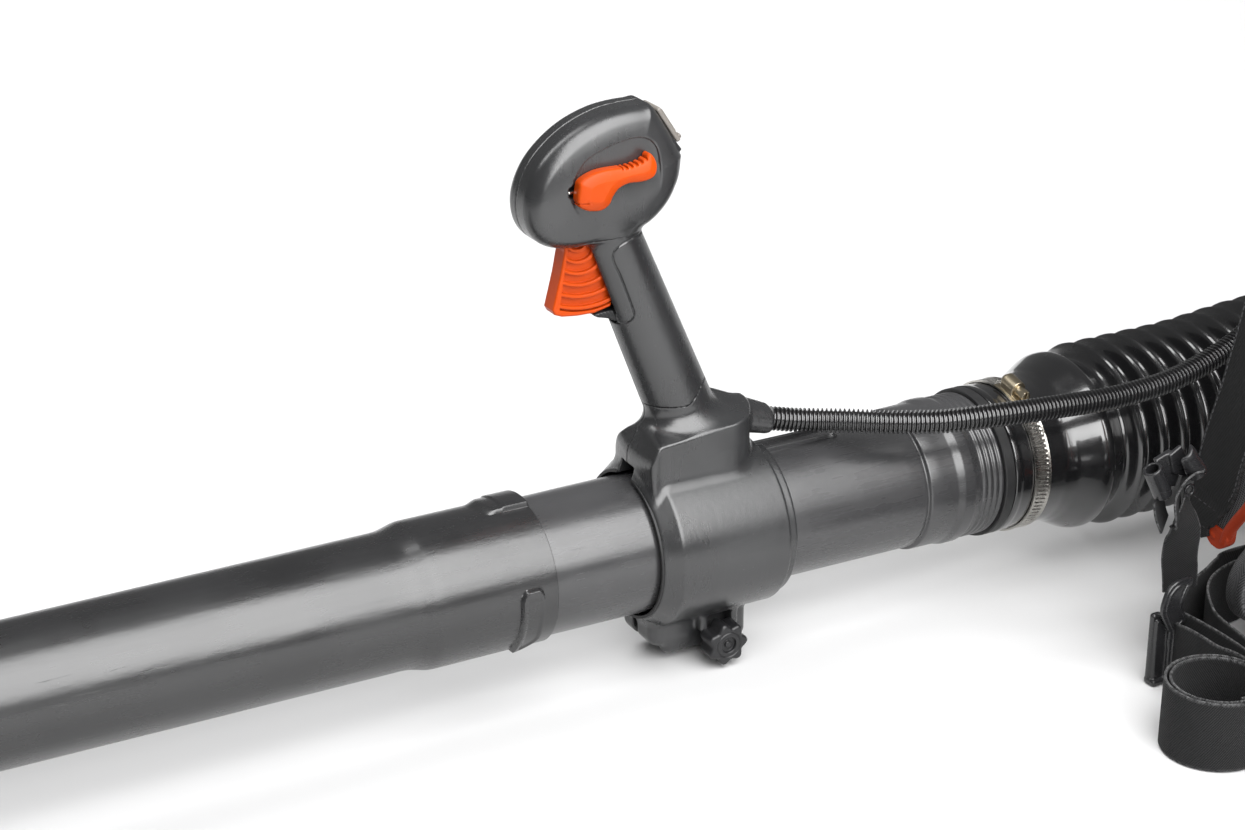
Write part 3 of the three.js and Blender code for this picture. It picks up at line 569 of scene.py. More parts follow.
TUBE_SATIN = moulded("tube_satin", (0.032, 0.032, 0.0332), 0.27, scuffs=0.6, gloss=0.85, wrinkle=0.12)
TUBE_BLACK = moulded("tube_black", (0.013, 0.013, 0.0136), 0.27, scuffs=0.6, gloss=0.85, wrinkle=0.2)
SHELL = moulded("shell_satin", (0.020, 0.0203, 0.0212), 0.28, gloss=0.85, grain=0.045, along=2, wrinkle=0.05)
ORANGE = moulded("orange_plastic", (0.46, 0.050, 0.0008), 0.42, grain=0.02, scuffs=0.3, gloss=0.22, worn=0.1)
BLACK = moulded("black_plastic", (0.011, 0.011, 0.012), 0.38, worn=0.3)
RUBBER = glossy_rubber("bellows_rubber")
MATT_RUBBER = moulded("matt_rubber", (0.010, 0.010, 0.0105), 0.55, scuffs=0.6, worn=0.25)
STEEL = steel("band_steel")
YELLOW_STEEL = steel("passivated_steel", (0.52, 0.45, 0.33), 0.3)


# ---------------------------------------------------------------- throttle conduit
CONDUIT_DIAMETER = 0.016
CONDUIT_ROUTE = [
    (-0.485, 0.248, 0.1483), (-0.470, 0.2435, 0.1458), (-0.455, 0.237, 0.1448), (-0.438, 0.226, 0.145),
    (-0.416, 0.212, 0.1448), (-0.385, 0.197, 0.1445), (-0.350, 0.187, 0.1452), (-0.305, 0.1805, 0.1445),
    (-0.255, 0.1765, 0.1435), (-0.204, 0.175, 0.149), (-0.150, 0.178, 0.166), (-0.100, 0.186, 0.196),
    (-0.058, 0.194, 0.230), (-0.020, 0.198, 0.262), (0.020, 0.197, 0.288), (0.058, 0.189, 0.303),
    (0.090, 0.175, 0.3075), (0.112, 0.158, 0.307), (0.1205, 0.143, 0.306), (0.121, 0.1287, 0.306),
]


def smooth_route(points, step):
    """Evenly spaced points on a smooth curve through the given points."""
    p = np.array(points, float)
    p = np.vstack([2 * p[0] - p[1], p, 2 * p[-1] - p[-2]])
    dense = []
    for a, b, c, d in zip(p, p[1:], p[2:], p[3:]):
        for t in np.linspace(0, 1, 60, endpoint=False):
            dense.append(0.5 * (2 * b + (c - a) * t + (2 * a - 5 * b + 4 * c - d) * t * t
                                + (3 * b - a - 3 * c + d) * t ** 3))
    dense.append(p[-2])
    dense = np.array(dense)
    travelled = distances(dense)
    even = np.linspace(0, travelled[-1], max(2, round(travelled[-1] / step) + 1))
    return np.stack([np.interp(even, travelled, dense[:, i]) for i in range(3)], axis=1), even


def frame_along(line):
    """The level direction across a line and the direction square to both, at each point."""
    tangent = directions(line)
    across = unit(np.cross((0.0, 0.0, 1.0), tangent))
    return across, np.cross(tangent, across)


def swept(name, centres, radii, sides):
    """A tube of changing radius along a list of centres, with closed ends."""
    across, up = frame_along(centres)
    angle = np.linspace(0, 2 * math.pi, sides, endpoint=False)
    rim = np.cos(angle)[None, :, None] * across[:, None, :] + np.sin(angle)[None, :, None] * up[:, None, :]
    points = centres[:, None, :] + rim * np.asarray(radii)[:, None, None]
    faces = grid_faces(len(centres), sides, wrap_columns=True).tolist()
    faces.append(list(range(sides)))
    faces.append([(len(centres) - 1) * sides + i for i in reversed(range(sides))])
    return new_object(name, points.reshape(-1, 3), [f[::-1] for f in faces])


def conduit():
    """The corrugated conduit from the handle to the engine, in the three lengths its joints need."""
    ring_pitch = 0.0029
    step = ring_pitch / 8
    centres, travelled = smooth_route(CONDUIT_ROUTE, step)
    phase = travelled / ring_pitch * 2 * math.pi
    radii = CONDUIT_DIAMETER / 2 * (0.88 + 0.12 * np.tanh(1.8 * np.cos(phase)) / math.tanh(1.8))
    wand_reach, hose_reach = -0.250, -0.130
    first = int(round(np.argmax(centres[:, 0] > wand_reach) / 8)) * 8 + 4
    second = int(round(np.argmax(centres[:, 0] > hose_reach) / 8)) * 8 + 4
    spans = [("conduit_front", 0, first, "handle", "wand"), ("conduit_middle", first, second, "wand", "hose"),
             ("conduit_rear", second, len(centres) - 1, "hose", "pack")]
    for name, start, end, body, next_body in spans:
        part = slice(start, end + 1)
        obj = swept(name, centres[part], radii[part], 20)
        dress(obj, CONDUIT, None, "black_plastic", "throttle_conduit")
        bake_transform(obj)


CONDUIT = moulded("conduit_black", (0.012, 0.012, 0.0125), 0.24, grain=0.01, worn=0.35, gloss=1.0)


# ---------------------------------------------------------------- floor and lights
def floor():
    size = 14
    corners = [(-size, -size, 0), (size, -size, 0), (size, size, 0), (-size, size, 0)]
    obj = new_object("floor", corners, [[0, 1, 2, 3]])
    n = Nodes("floor_paper")
    shade = n.mix(n.noise(3, 3), (0.57, 0.57, 0.573), (0.60, 0.60, 0.60))
    obj.data.materials.append(n.finish(shade, 0.85, n.bump(n.noise(400, 3), 0.02)))


def area_light(name, place, target, size, power, shape_y=None):
    data = bpy.data.lights.new(name, "AREA")
    data.shape = "RECTANGLE"
    data.size = size
    data.size_y = shape_y or size
    data.energy = power
    light = bpy.data.objects.new(name, data)
    bpy.context.scene.collection.objects.link(light)
    light.location = place
    light.rotation_euler = (Vector(target) - Vector(place)).to_track_quat("-Z", "Y").to_euler()
    return light


def lights():
    world = bpy.data.worlds.new("studio")
    world.use_nodes = True
    background = world.node_tree.nodes["Background"]
    background.inputs["Color"].default_value = (1, 1, 1, 1)
    background.inputs["Strength"].default_value = 0.17
    bpy.context.scene.world = world
    middle = (-0.5, 0.15, 0.1)
    area_light("key_box", (-0.5, -1.12, 1.55), middle, 2.1, 118, 2.6)
    floor_box = area_light("floor_box", (0.3, 3.4, 2.6), (0.1, 2.6, 0), 3.2, 190, 1.8)
    floor_box.visible_glossy = False
    area_light("side_box", (-1.25, 0.75, 1.75), (0.0, 0.25, 0.15), 0.35, 9, 1.3)
    bpy.context.scene.view_settings.view_transform = "Standard"


# ---------------------------------------------------------------- wand: tubes
def inner_wall(outer, wall):
    """A tube's closed profile, from its outer line and its wall."""
    first, last = outer[0], outer[-1]
    lip = 0.5
    inner = [(x, r - wall) for x, r in outer][::-1]
    ends = [(last[0], last[1] - lip), (last[0], inner[0][1] + lip)]
    start = [(first[0], inner[-1][1] + lip), (first[0], first[1] - lip)]
    line = [(first[0] + lip, first[1])] + list(outer[1:-1]) + [(last[0] - lip, last[1])]
    back = [(inner[0][0] - lip, inner[0][1])] + inner[1:-1] + [(inner[-1][0] + lip, inner[-1][1])]
    return line + ends + back + start


def bayonet_covers(edge, height):
    """How far the covers over a bayonet joint's slots stand up from the bell.

    The top and far covers are square pads at the bell's edge. The near one is a lug with an
    arched top that bends away from the edge towards its foot.
    """
    def raised(x, turn, r):
        total = np.zeros_like(x)
        for angle in PAD_ANGLES:
            away = (np.abs((turn - angle + math.pi) % (2 * math.pi) - math.pi)) * 47
            front = edge - 35 + 4 * (away / 16) ** 2
            along = ease(x, front, front + 9) * ease(x, edge - 0.2, edge - 1.6)
            wide = ease(away, 16.5, 15)
            step = 0.72 + 0.28 * ease(x, edge - 19, edge - 17.6)
            total = np.maximum(total, height * along * wide * step)
        degrees = np.degrees((turn + math.pi) % (2 * math.pi) - math.pi)
        arch = 8.5 * np.clip((degrees - 2) / 10.5, 0, 1) ** 2.4
        left = LUG_LEFT + 0.6 * arch
        right = LUG_RIGHT - 0.4 * arch - 18 * ease(-degrees, 30, 60)
        inside = ease(x, left, left + 1.6) * ease(x, right, right - 1.6)
        inside = inside * ease(degrees, 12.6, 10.8) * ease(degrees, -61, -58)
        hollow = 1 - 0.25 * ease(x, left + 3, left + 4.5) * ease(x, right - 3, right - 4.5) * ease(degrees, 6, 3)
        total = np.maximum(total, height * inside * hollow)
        return np.where(r > 46, total, 0)
    return raised


PAD_ANGLES = [math.radians(100), math.radians(-150)]
LUG_LEFT = -100
LUG_RIGHT = -83


def tubes():
    tip = rounded_path([(NOZZLE_TIP, 36.5), (-752, 36.9), (-750, 38.1), (-747, 38.1), (-745, 37.1), (-650, 39.5),
                        (-590, 41.2), (-582, 44.9), (-516, 44.9)], 3)
    nozzle = turned("nozzle_tube", inner_wall(tip, TUBE_WALL), 128)
    dress(nozzle, TUBE_BLACK, "nozzle", "tube_black", "nozzle")
    line = [(-578, 41.3), (-510, 41.6), (-165, 43.4), (-152, 46.8), (-146, BELL_RADIUS)]
    dense = [(x, BELL_RADIUS) for x in np.arange(-118, BELL_EDGE + 0.1, 0.7)]
    front = turned("front_tube_body", inner_wall(rounded_path(line, 5) + dense, TUBE_WALL), 480,
                   raised=bayonet_covers(BELL_EDGE, 3.3))
    dress(front, TUBE_BLACK, "front_tube", "tube_black", "front_tube")
    sleeve = [(-138, 44.1), (BELL_EDGE, 44.4), (SLEEVE_STEP - 3, 46.5), (SLEEVE_STEP - 2.2, 45.9),
              (SLEEVE_STEP - 0.8, 45.9), (SLEEVE_STEP, 48.4), (SLEEVE_STEP + 21, 48.7), (SLEEVE_STEP + 26, 50.2),
              (SLEEVE_STEP + 34, 50.2), (SLEEVE_STEP + 38, 48.6)]
    for ring in range(4):
        x = SLEEVE_STEP + 41 + ring * 4.6
        sleeve += [(x, 48.2), (x + 1.1, 49.2), (x + 2.6, 49.2), (x + 3.6, 48.2)]
    sleeve += [(SLEEVE_END, 48.2), (SLEEVE_END + 0.01, 46.5), (SPIGOT_END, 46.5)]
    rear = turned("rear_tube_body", inner_wall(rounded_path(sleeve, 0.9, 3), TUBE_WALL), 192)
    dress(rear, TUBE_SATIN, "wand", "tube_grey", "rear_tube")
    gasket = [(GASKET_FRONT, 47), (GASKET_FRONT, 50.9), (GASKET_FRONT + 0.6, 51.5), (CUFF_FRONT - 1, 51.5),
              (CUFF_FRONT - 0.4, 50.9), (CUFF_FRONT - 0.4, 47)]
    dress(turned("gasket", gasket, 128), MATT_RUBBER, "wand", "black_rubber", "gasket_ring")


def rails():
    """The two low rails on the tube that the handle slides along, each ending in a stop."""
    for side, name in ((-1, "near"), (1, "far")):
        f = Field((8, side * 6 - 4, 43), (158, side * 6 + 4, 51), 0.5)
        bar = f.box((10, side * 6 - 1.3, 43), (152, side * 6 + 1.3, 48.3), 0.7)
        stop = f.cone((150.4, side * 6, 46), (152, side * 6, 45), 2.5)
        dress(f.skin(f"slide_rail_{name}", join(bar, stop, 1)), TUBE_SATIN, "wand", "tube_grey")


# ---------------------------------------------------------------- bellows and clamps
def bellows_profile():
    """The bellows' outer line: a cuff with a lip, a cone, a flange ring and the pleats."""
    line = [(CUFF_FRONT, 50.4), (CUFF_FRONT + 0.8, 51.6), (CUFF_FRONT + 4, 51.8), (CUFF_FRONT + 6, 51.2),
            (305, 51.2), (314, 51.4), (321, 53.2), (337, 61.4), (340, 62.3), (344, 62.6), (346.5, 61.4),
            (350, 55.4), (357.5, 54.2)]
    path = [np.array(p) for p in rounded_path(line, 2.4, 4)]
    last_crest = FIRST_CREST + CREST_COUNT * CREST_PITCH - CREST_PITCH / 2
    for x in np.arange(FIRST_CREST - CREST_PITCH / 2, last_crest, CREST_PITCH / 20):
        swing = (x - FIRST_CREST) / CREST_PITCH * 2 * math.pi
        share = 0.5 + 0.5 * math.cos(swing)
        path.append(np.array((x, VALLEY_RADIUS + PLEAT_HEIGHT * share ** 2.5)))
    path += [np.array(p) for p in ((540.5, 53.2), (543, 52.4), (BELLOWS_END - 1, 52.4), (BELLOWS_END, 51.4))]
    return path


def bellows():
    line = np.array(refine(bellows_profile(), 1.2))
    spans = [("bellows_front", line[line[:, 0] <= BELLOWS_SPLIT + 0.01], "wand", "hose", 362, BELLOWS_SPLIT),
             ("bellows_rear", line[line[:, 0] >= BELLOWS_SPLIT - 0.5], "hose", "pack", BELLOWS_SPLIT, 545)]
    sides = 128
    angle = np.linspace(0, 2 * math.pi, sides, endpoint=False)
    for name, outer, body, next_body, start, end in spans:
        profile = np.vstack([outer, (outer - (0, 3.0))[::-1]])
        rise = BELLOWS_RISE * ease(profile[:, 0], 440, BELLOWS_END - 22)
        x = np.repeat(profile[:, 0][:, None], sides, axis=1)
        r = profile[:, 1][:, None]
        points = np.stack([x, -r * np.cos(angle), r * np.sin(angle) + rise[:, None]], axis=2).reshape(-1, 3)
        points = points + np.array(WAND)
        faces = grid_faces(len(profile), sides, wrap_rows=True, wrap_columns=True)
        obj = new_object(name, points * MM, face_out(points, faces), math.radians(70))
        dress(obj, RUBBER, None, "black_rubber", "bellows_hose")
        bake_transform(obj)


def clamp_band(name, x0, radius, z, body, node):
    """A perforated hose clamp band, with raised edges and slanted slots."""
    columns = 720
    across = 26
    angle = np.linspace(0, 2 * math.pi, columns, endpoint=False)
    v = np.linspace(0, 1, across)
    turn, width = np.meshgrid(angle, v)
    inner, outer = radius + 0.35, radius + 1.25
    along = turn * radius / 3.3 + (width - 0.5) * 0.75
    slot = ease(np.cos(along * 2 * math.pi), 0.1, 0.55) * ease(np.abs(width - 0.5), 0.34, 0.28)
    edge = ease(np.abs(width - 0.5), 0.40, 0.46)
    height = outer + 0.3 * edge - 0.55 * slot
    x = x0 + width * CLAMP_WIDTH
    top = np.stack([x, -height * np.cos(turn), height * np.sin(turn) + z], axis=2)
    low = np.stack([x, -inner * np.cos(turn), inner * np.sin(turn) + z], axis=2)[::-1]
    points = np.vstack([top, low]).reshape(-1, 3) + np.array(WAND)
    faces = grid_faces(2 * across, columns, wrap_rows=True, wrap_columns=True)
    obj = new_object(name, points * MM, face_out(points, faces))
    dress(obj, STEEL, body, "steel", node)


def clamp_screw(name, x0, radius, z, lean, body, node):
    """The worm housing, its saddle, its slotted hexagon screw and the band's free tail."""
    f = Field((-10, -26, radius - 2), (10, 22, radius + 14), 0.4)
    seat = radius + 1.7
    axis_z = seat + 4.6
    bend = np.hypot(f.y, f.z) - radius
    saddle = meet(meet(np.abs(bend - 2.1) - 0.5, f.slab(1, -11, 11)), f.slab(0, -7.3, 7.3), 0.4)
    arch = meet(f.disc(1, (0, axis_z), 5.7), f.slab(1, -6.5, 6.5), 0.5)
    walls = f.box((-5.7, -6.5, seat), (5.7, 6.5, axis_z), 0.5)
    shank = meet(f.disc(1, (0, axis_z), 3.4), f.slab(1, -12, 9), 0.4)
    head = meet(f.outline(1, hexagon((0, axis_z), 3.9)), f.slab(1, -15.5, -10.5), 0.5)
    slit = f.box((-0.5, -18, seat), (0.5, -14, seat + 10))
    lifted = np.abs(bend - 3.2 - 0.02 * (f.y + 8) ** 2 / 2) - 0.4
    tail = meet(meet(lifted, f.slab(1, -24, -6)), f.slab(0, -5.6, 5.6), 0.3)
    solid = join(join(saddle, join(arch, walls), 0.6), shank, 0.2)
    solid = cut(join(join(solid, head), tail, 0.2), slit)
    obj = f.skin(name, solid, local=False)
    turn = Matrix.Rotation(lean, 4, "X")
    centre = in_frame(x0 + CLAMP_WIDTH / 2, 0, z)
    obj.data.transform(Matrix.Translation(centre) @ turn)
    dress(obj, YELLOW_STEEL, body, "steel", node)


def clamps():
    for end, x0, radius, z, body in (("front", 285.5, 51.4, 0, "wand"),
                                     ("rear", BELLOWS_END - 15, 52.5, BELLOWS_RISE, "pack")):
        clamp_band(f"clamp_strip_{end}", x0, radius, z, body, f"clamp_band_{end}")
        clamp_screw(f"clamp_worm_{end}", x0, radius, z, 0.23, body, f"clamp_screw_{end}")


# ---------------------------------------------------------------- handle
GRIP_LEAN = math.tan(math.radians(22.5))
SHELL_SPLIT = 2
SHELL_GAP = 0.16                    # how far each half stands back from the plane between them
FOOT_GAP = 0.18                     # half the gap between the grip and its foot
SEAM = 0.45                         # half the width of a moulded seam line
COLLAR_BORE = 46.9
COLLAR_RADIUS = 56.5
CLAMP_BOLT = (50, -65)
HEAD_OUTLINE = [(2, 293), (-22, 291), (-45, 282), (-64, 266), (-73.5, 247), (-73, 229), (-64, 216.5), (-48, 211),
                (-24, 211), (4, 216), (20, 227), (29, 242), (31.5, 256), (30.5, 260.5), (12.5, 290)]


def rounded_outline(points, per_side=8, tension=0.5):
    """A smooth closed outline through the given points."""
    p = np.array(points, float)
    result = []
    for i in range(len(p)):
        a, b, c, d = p[i - 1], p[i], p[(i + 1) % len(p)], p[(i + 2) % len(p)]
        for t in np.linspace(0, 1, per_side, endpoint=False):
            h = np.array([1, t, t * t, t ** 3])
            m0, m1 = tension * (c - a), tension * (d - b)
            result.append(b * (h[0] - 3 * h[2] + 2 * h[3]) + m0 * (t - 2 * t * t + t ** 3)
                          + c * (3 * t * t - 2 * t ** 3) + m1 * (t ** 3 - t * t))
    return result


def grip_distance(f):
    """The leaning oval grip, wider at its foot."""
    share = np.clip((f.z - 92) / 118, -0.1, 1.2)
    along, across = 24 - 3 * share, 18.5 - 1.5 * share
    dx = f.x - (35 - (f.z - 97) * GRIP_LEAN)
    reach = np.hypot(dx / along, f.y / across) + 1e-4
    slope = np.hypot(dx / along ** 2, f.y / across ** 2) + 1e-4
    return reach * (reach - 1) / slope * 0.95


def groove(solid, sheet, width=SEAM, depth=0.8):
    """Cuts a line into a solid's skin where the sheet's distance is zero."""
    return np.maximum(solid, -np.maximum(np.abs(sheet) - width, -solid - depth))


def halves(f, solid, name):
    """Splits a solid at the plane between the two handle shells, with a small chamfer on each lip."""
    near = f.skin(f"{name}_near", meet(solid, f.y - SHELL_SPLIT + SHELL_GAP, 0.5))
    far = f.skin(f"{name}_far", meet(solid, SHELL_SPLIT + SHELL_GAP - f.y, 0.5))
    for obj, node in ((near, "handle_shell_left"), (far, "handle_shell_right")):
        dress(obj, SHELL, "handle", "shell_grey", node)


def grip_and_head():
    """The grip and the head on top of it, with the panel seam, the lever's recess and the trigger's pocket."""
    f = Field((-80, -24, 92), (72, 24, 300), 0.62)
    edge = f.outline(1, rounded_outline(HEAD_OUTLINE))
    inward = np.clip(-edge / 26, 0, 1)
    crown = 15.4 + 5.2 * (1 - (1 - inward) ** 2)
    head = meet(edge, np.abs(f.y) - crown, 8)
    grip = meet(grip_distance(f), f.z - 240)
    solid = join(head, grip, 5)
    recess_line = [(-47.5, 252), (-41.2, 263.7), (-32.4, 269.9), (-14.7, 275.2), (0, 275.5), (9.5, 268), (12, 252),
                   (10, 238), (2, 231), (-20, 229), (-40, 233), (-47, 242)]
    recess = f.outline(1, rounded_outline(recess_line))
    sink = 2.5 * ease(f.z, 234, 264)
    dish = np.maximum(recess, f.y + 20.7 - sink)
    solid = cut(solid, dish, 0.9)
    hole = np.maximum(f.disc(1, (-46.5, 249), 4.2), f.y + 14)
    solid = cut(solid, hole, 0.4)
    notch = f.outline(1, [(27.2, 262), (36, 248), (60, 262), (36, 300)])
    ledge = f.outline(1, [(20, 277), (31.4, 261.6), (26, 256), (10, 270)])
    solid = join(solid, meet(ledge, f.slab(1, -12, 12), 0.8), 0.6)
    solid = cut(solid, np.maximum(notch, f.slab(1, -7, 7)), 0.3)
    button_pocket = f.box((-32, -6.4, 155), (-3, 6.4, 168), 1)
    trigger_pocket = f.box((-59, -7.5, 196), (-13, 7.5, 247), 1)
    grip_pocket = f.box((-32, -7.5, 162), (4, 7.5, 212), 1)
    for pocket in (button_pocket, trigger_pocket, grip_pocket):
        solid = cut(solid, pocket, 0.5)
    panel_line = rounded_outline([(60, 212), (2, 212.4), (-10, 211), (-16.8, 207), (-17.6, 200), (-13.1, 189.9),
                                  (-7.3, 175), (-3.3, 163.5), (-4.4, 158.6), (-9, 155), (-16, 154.4),
                                  (-30, 158), (-30, 140), (60, 140)], 6, 0.4)
    panel = np.where(f.z > 150, f.outline(1, panel_line), 9)
    solid = groove(solid, panel, 0.42, 0.8)
    neck = f.z - (214.5 + 0.03 * f.x)
    solid = groove(solid, np.where((f.x < 14) & (f.x > -44), neck, 9), 0.4, 0.6)
    foot = f.z - foot_seam(f.x)
    solid = np.maximum(solid, -foot + FOOT_GAP)
    halves(f, solid, "grip")


def foot_seam(x):
    """The height of the seam between the grip and its foot."""
    return 95.4 + 12.5 * ease(x, 32, 50)


def collar_and_foot():
    """The collar round the tube, the saddle on it, the grip's foot, the clamp ears and the conduit boss."""
    f = Field((-10, -60, -80), (110, 60, 112), 0.72)
    radial = f.disc(0, (0, 0), COLLAR_RADIUS)
    collar = meet(meet(radial, f.slab(0, 0, 89.5), 1.4), (radial - (f.x - 11) * 0.62) * 0.85, 0.35)
    lip = meet(radial + 3.2, f.slab(0, 80, 96), 1)
    collar = join(collar, lip)
    rise = 0.085 * (f.x - 4)
    section = polygon_distance(f.y, f.z - rise, rounded_outline(
        [(-29.5, 30), (-29.5, 60), (-29.3, 74), (-26.5, 76.4), (-12, 79), (3, 79), (13, 75), (22, 66), (28, 54),
         (30, 30)], 5, 0.35))
    plan = f.outline(2, rounded_outline([(2, -29.5), (10, -30), (40, -30), (64, -29.5), (76, -23), (84, -10), (86, 4),
                                         (82, 18), (70, 28.5), (40, 30), (14, 30), (5, 24), (1, 0)], 6, 0.4))
    front = (-2 - f.x) * 0.85 + np.maximum(f.z - 60, 0) * 0.5
    saddle = meet(meet(meet(section, plan, 2.2), front, 2.2), 30 - f.z)
    grip = meet(grip_distance(f), 60 - f.z)
    boss = meet(f.cone((62, 5, 79), (101, -1, 66.8), 14, 9.9), f.x - 104, 2.4)
    ears = f.box((16, -22, -76), (78, 22, -42), 5.5)
    foot = f.box((6, -24, -69), (40, 20, -38), 8)
    solid = join(collar, saddle, 5)
    solid = join(solid, grip, 13)
    solid = join(solid, boss, 3)
    solid = join(join(solid, ears, 3), foot, 4)
    hood = f.box((37, -33, -60), (65, -18, -40), 3)
    solid = join(solid, hood, 3)
    solid = cut(solid, f.box((41.5, -40, -77), (59, -23, -47), 1.5), 0.6)
    bore = f.disc(0, (0, 0), COLLAR_BORE)
    groove_box = f.box((-20, -7.4, 40), (120, 10.6, 55.5), 0.5)
    solid = cut(solid, bore, 0.8)
    solid = cut(solid, groove_box, 0.4)
    slot = f.box((-20, -3, -90), (120, 3, -40), 0.2)
    solid = cut(solid, slot, 0.5)
    solid = cut(solid, f.disc(1, CLAMP_BOLT, 3.6), 0.3)
    solid = np.maximum(solid, f.z - foot_seam(f.x) + FOOT_GAP)
    halves(f, solid, "collar")


def liner():
    """The thin black liner between the collar and the tube, seen as a dark line at the collar's front."""
    f = Field((-2.6, -50.5, -50.5), (2.2, 50.5, 50.5), 0.4)
    ring = meet(meet(f.disc(0, (0, 0), 49.1), -f.disc(0, (0, 0), 46.95)), f.slab(0, -1.6, 1.2), 0.4)
    ring = cut(ring, f.box((-20, -7.6, 40), (20, 10.8, 56), 0.5), 0.3)
    dress(f.skin("collar_liner", ring), MATT_RUBBER, "handle", "black_rubber")


def knob():
    """The clamp's lobed knob, its bolt and the bolt's nut on the far side."""
    x, z = CLAMP_BOLT
    f = Field((x - 18, -49, z - 18), (x + 18, -20, z + 18), 0.36)
    dx, dz = f.x - x, f.z - z
    angle = np.arctan2(dz, dx)
    rim = 13.4 + 1.25 * np.cos(7 * angle) - 0.5 * (1 - np.abs(np.cos(3.5 * angle)))
    radial = np.hypot(dx, dz)
    body = meet((radial - rim) * 0.85, f.slab(1, -46, -31), 2.0)
    neck = meet(radial - 8, f.slab(1, -34, -22.6), 0.6)
    solid = join(body, neck, 1.5)
    solid = cut(solid, np.maximum(radial - 5.4, f.y + 43.6), 0.6)
    solid = join(solid, meet(radial - 2.2, f.slab(1, -45.2, -40), 0.5))
    solid = cut(solid, np.maximum(np.abs(radial - 8.6) - 0.4, f.y + 45.4), 0.2)
    dress(f.skin("clamp_knob_lobed", solid), BLACK, "clamp_knob", "black_plastic", "clamp_knob")
    f = Field((x - 9, -22, z - 9), (x + 9, 29, z + 9), 0.4)
    radial = f.disc(1, (x, z), 0)
    thread = 2.9 + 0.18 * np.cos(f.y / 1.25 * 2 * math.pi)
    nut = meet(meet(f.outline(1, hexagon((x, z), 7)), f.slab(1, 22.4, 27), 0.3), radial - 7.4, 0.6)
    bolt = join(meet(radial - thread, f.slab(1, -21, 28.5), 0.4), nut)
    dress(f.skin("clamp_bolt_threaded", bolt), STEEL, "handle", "steel", "clamp_bolt")


TRIGGER_OUTLINE = [(-46.5, 226), (-46, 207), (-49, 192), (-54.5, 171), (-53, 168), (-48, 166), (-38, 164.8),
                   (-26, 164.5), (-15, 167), (-12.5, 172), (-27, 208), (-30, 222), (-31, 236), (-45, 240)]


def trigger():
    """The trigger: a smooth front rail, a thick lower rim and curved ribs with pockets between them."""
    f = Field((-57, -8.5, 162), (-10, 8.5, 243), 0.36)
    blade = meet(f.outline(1, TRIGGER_OUTLINE), np.abs(f.y) - 6.5, 1.4)
    rail = -50 + (f.z - 173.4) * 0.161
    back = -17.8 - (f.z - 170.7) * 0.393
    share = (f.x - rail) / (back - rail)
    sag = 2.5 * share + 10.6 * share * (1 - share)
    rib = comb(f.z + sag - 173.4, 7.45, 1.05)
    pocket = np.maximum(np.maximum(rail + 0.6 - f.x, 171.0 - f.z - sag), -rib)
    pocket = np.maximum(pocket, f.z + sag - 214)
    for side in (-1, 1):
        blade = cut(blade, np.maximum(pocket, 3.6 - side * f.y), 0.5)
    blade = cut(blade, f.disc(1, (-38, 232), 3.0), 0.3)
    dress(f.skin("trigger_ribbed", blade, 1), ORANGE, "trigger", "orange", "throttle_trigger")
    f = Field((-28, -7.2, 150), (-1, 7.2, 167), 0.36)
    line = [(-25, 163.3), (-23.5, 161), (-16, 158.8), (-4, 153.4), (-3, 157), (-11, 163.6)]
    button = meet(f.outline(1, rounded_outline(line)), np.abs(f.y) - 5.9, 1.4)
    ridges = comb(f.x + 0.5 * f.z, 2.4, 0.5)
    button = cut(button, np.maximum(np.maximum(ridges, 5.3 - np.abs(f.y)), -button - 0.7))
    dress(f.skin("lock_button_ribbed", button), BLACK, "lock_button", "black_plastic", "lock_button")


LEVER_OUTLINE = [(-46.1, 252), (-44.5, 256.6), (-36.8, 260.2), (-28, 261.4), (-16.9, 261.3), (-8, 262.2), (-2, 264.3),
                 (1.2, 267.3), (4.6, 264), (6.4, 258.7), (5.3, 253.8), (1.6, 251.2), (-5, 250.4), (-12.4, 250.8),
                 (-19.1, 248.9), (-23.4, 244.4), (-25.8, 239.9), (-30.6, 237), (-37, 237.2), (-42.5, 239),
                 (-46.8, 243)]


def lever():
    """The cruise lever: a bevelled, hooked blade with a few serrations near its tip."""
    f = Field((-50, -30, 233), (10, -17.4, 271), 0.34)
    edge = f.outline(1, rounded_outline(LEVER_OUTLINE, 6))
    lift = 25.3 + 3.1 * np.sqrt(np.clip(-edge / 6.5, 0, 1))
    solid = meet(edge, np.maximum(-f.y - lift, f.y + 18.6), 1.0)
    teeth = comb(f.x + 4, 3.4, 0.75)
    serrations = np.maximum(np.maximum(teeth, -edge - 1.5), np.maximum(-17.5 - f.x, f.x + 0.5))
    solid = cut(solid, np.maximum(serrations, 257 - f.z), 0.4)
    solid = groove(solid, np.where(f.x < -40.5, f.z - 243.2, 9), 0.35, 0.8)
    dress(f.skin("cruise_lever_hooked", solid, 1), ORANGE, "cruise_lever", "orange", "cruise_lever")
    f = Field((-52, -21, 244), (-41, -13, 253), 0.3)
    pin = meet(f.cone((-49.4, -18.5, 248.6), (-44, -17.2, 248.4), 1.1), f.x + 41, 0.2)
    dress(f.skin("lever_pin", pin), STEEL, "handle", "steel")


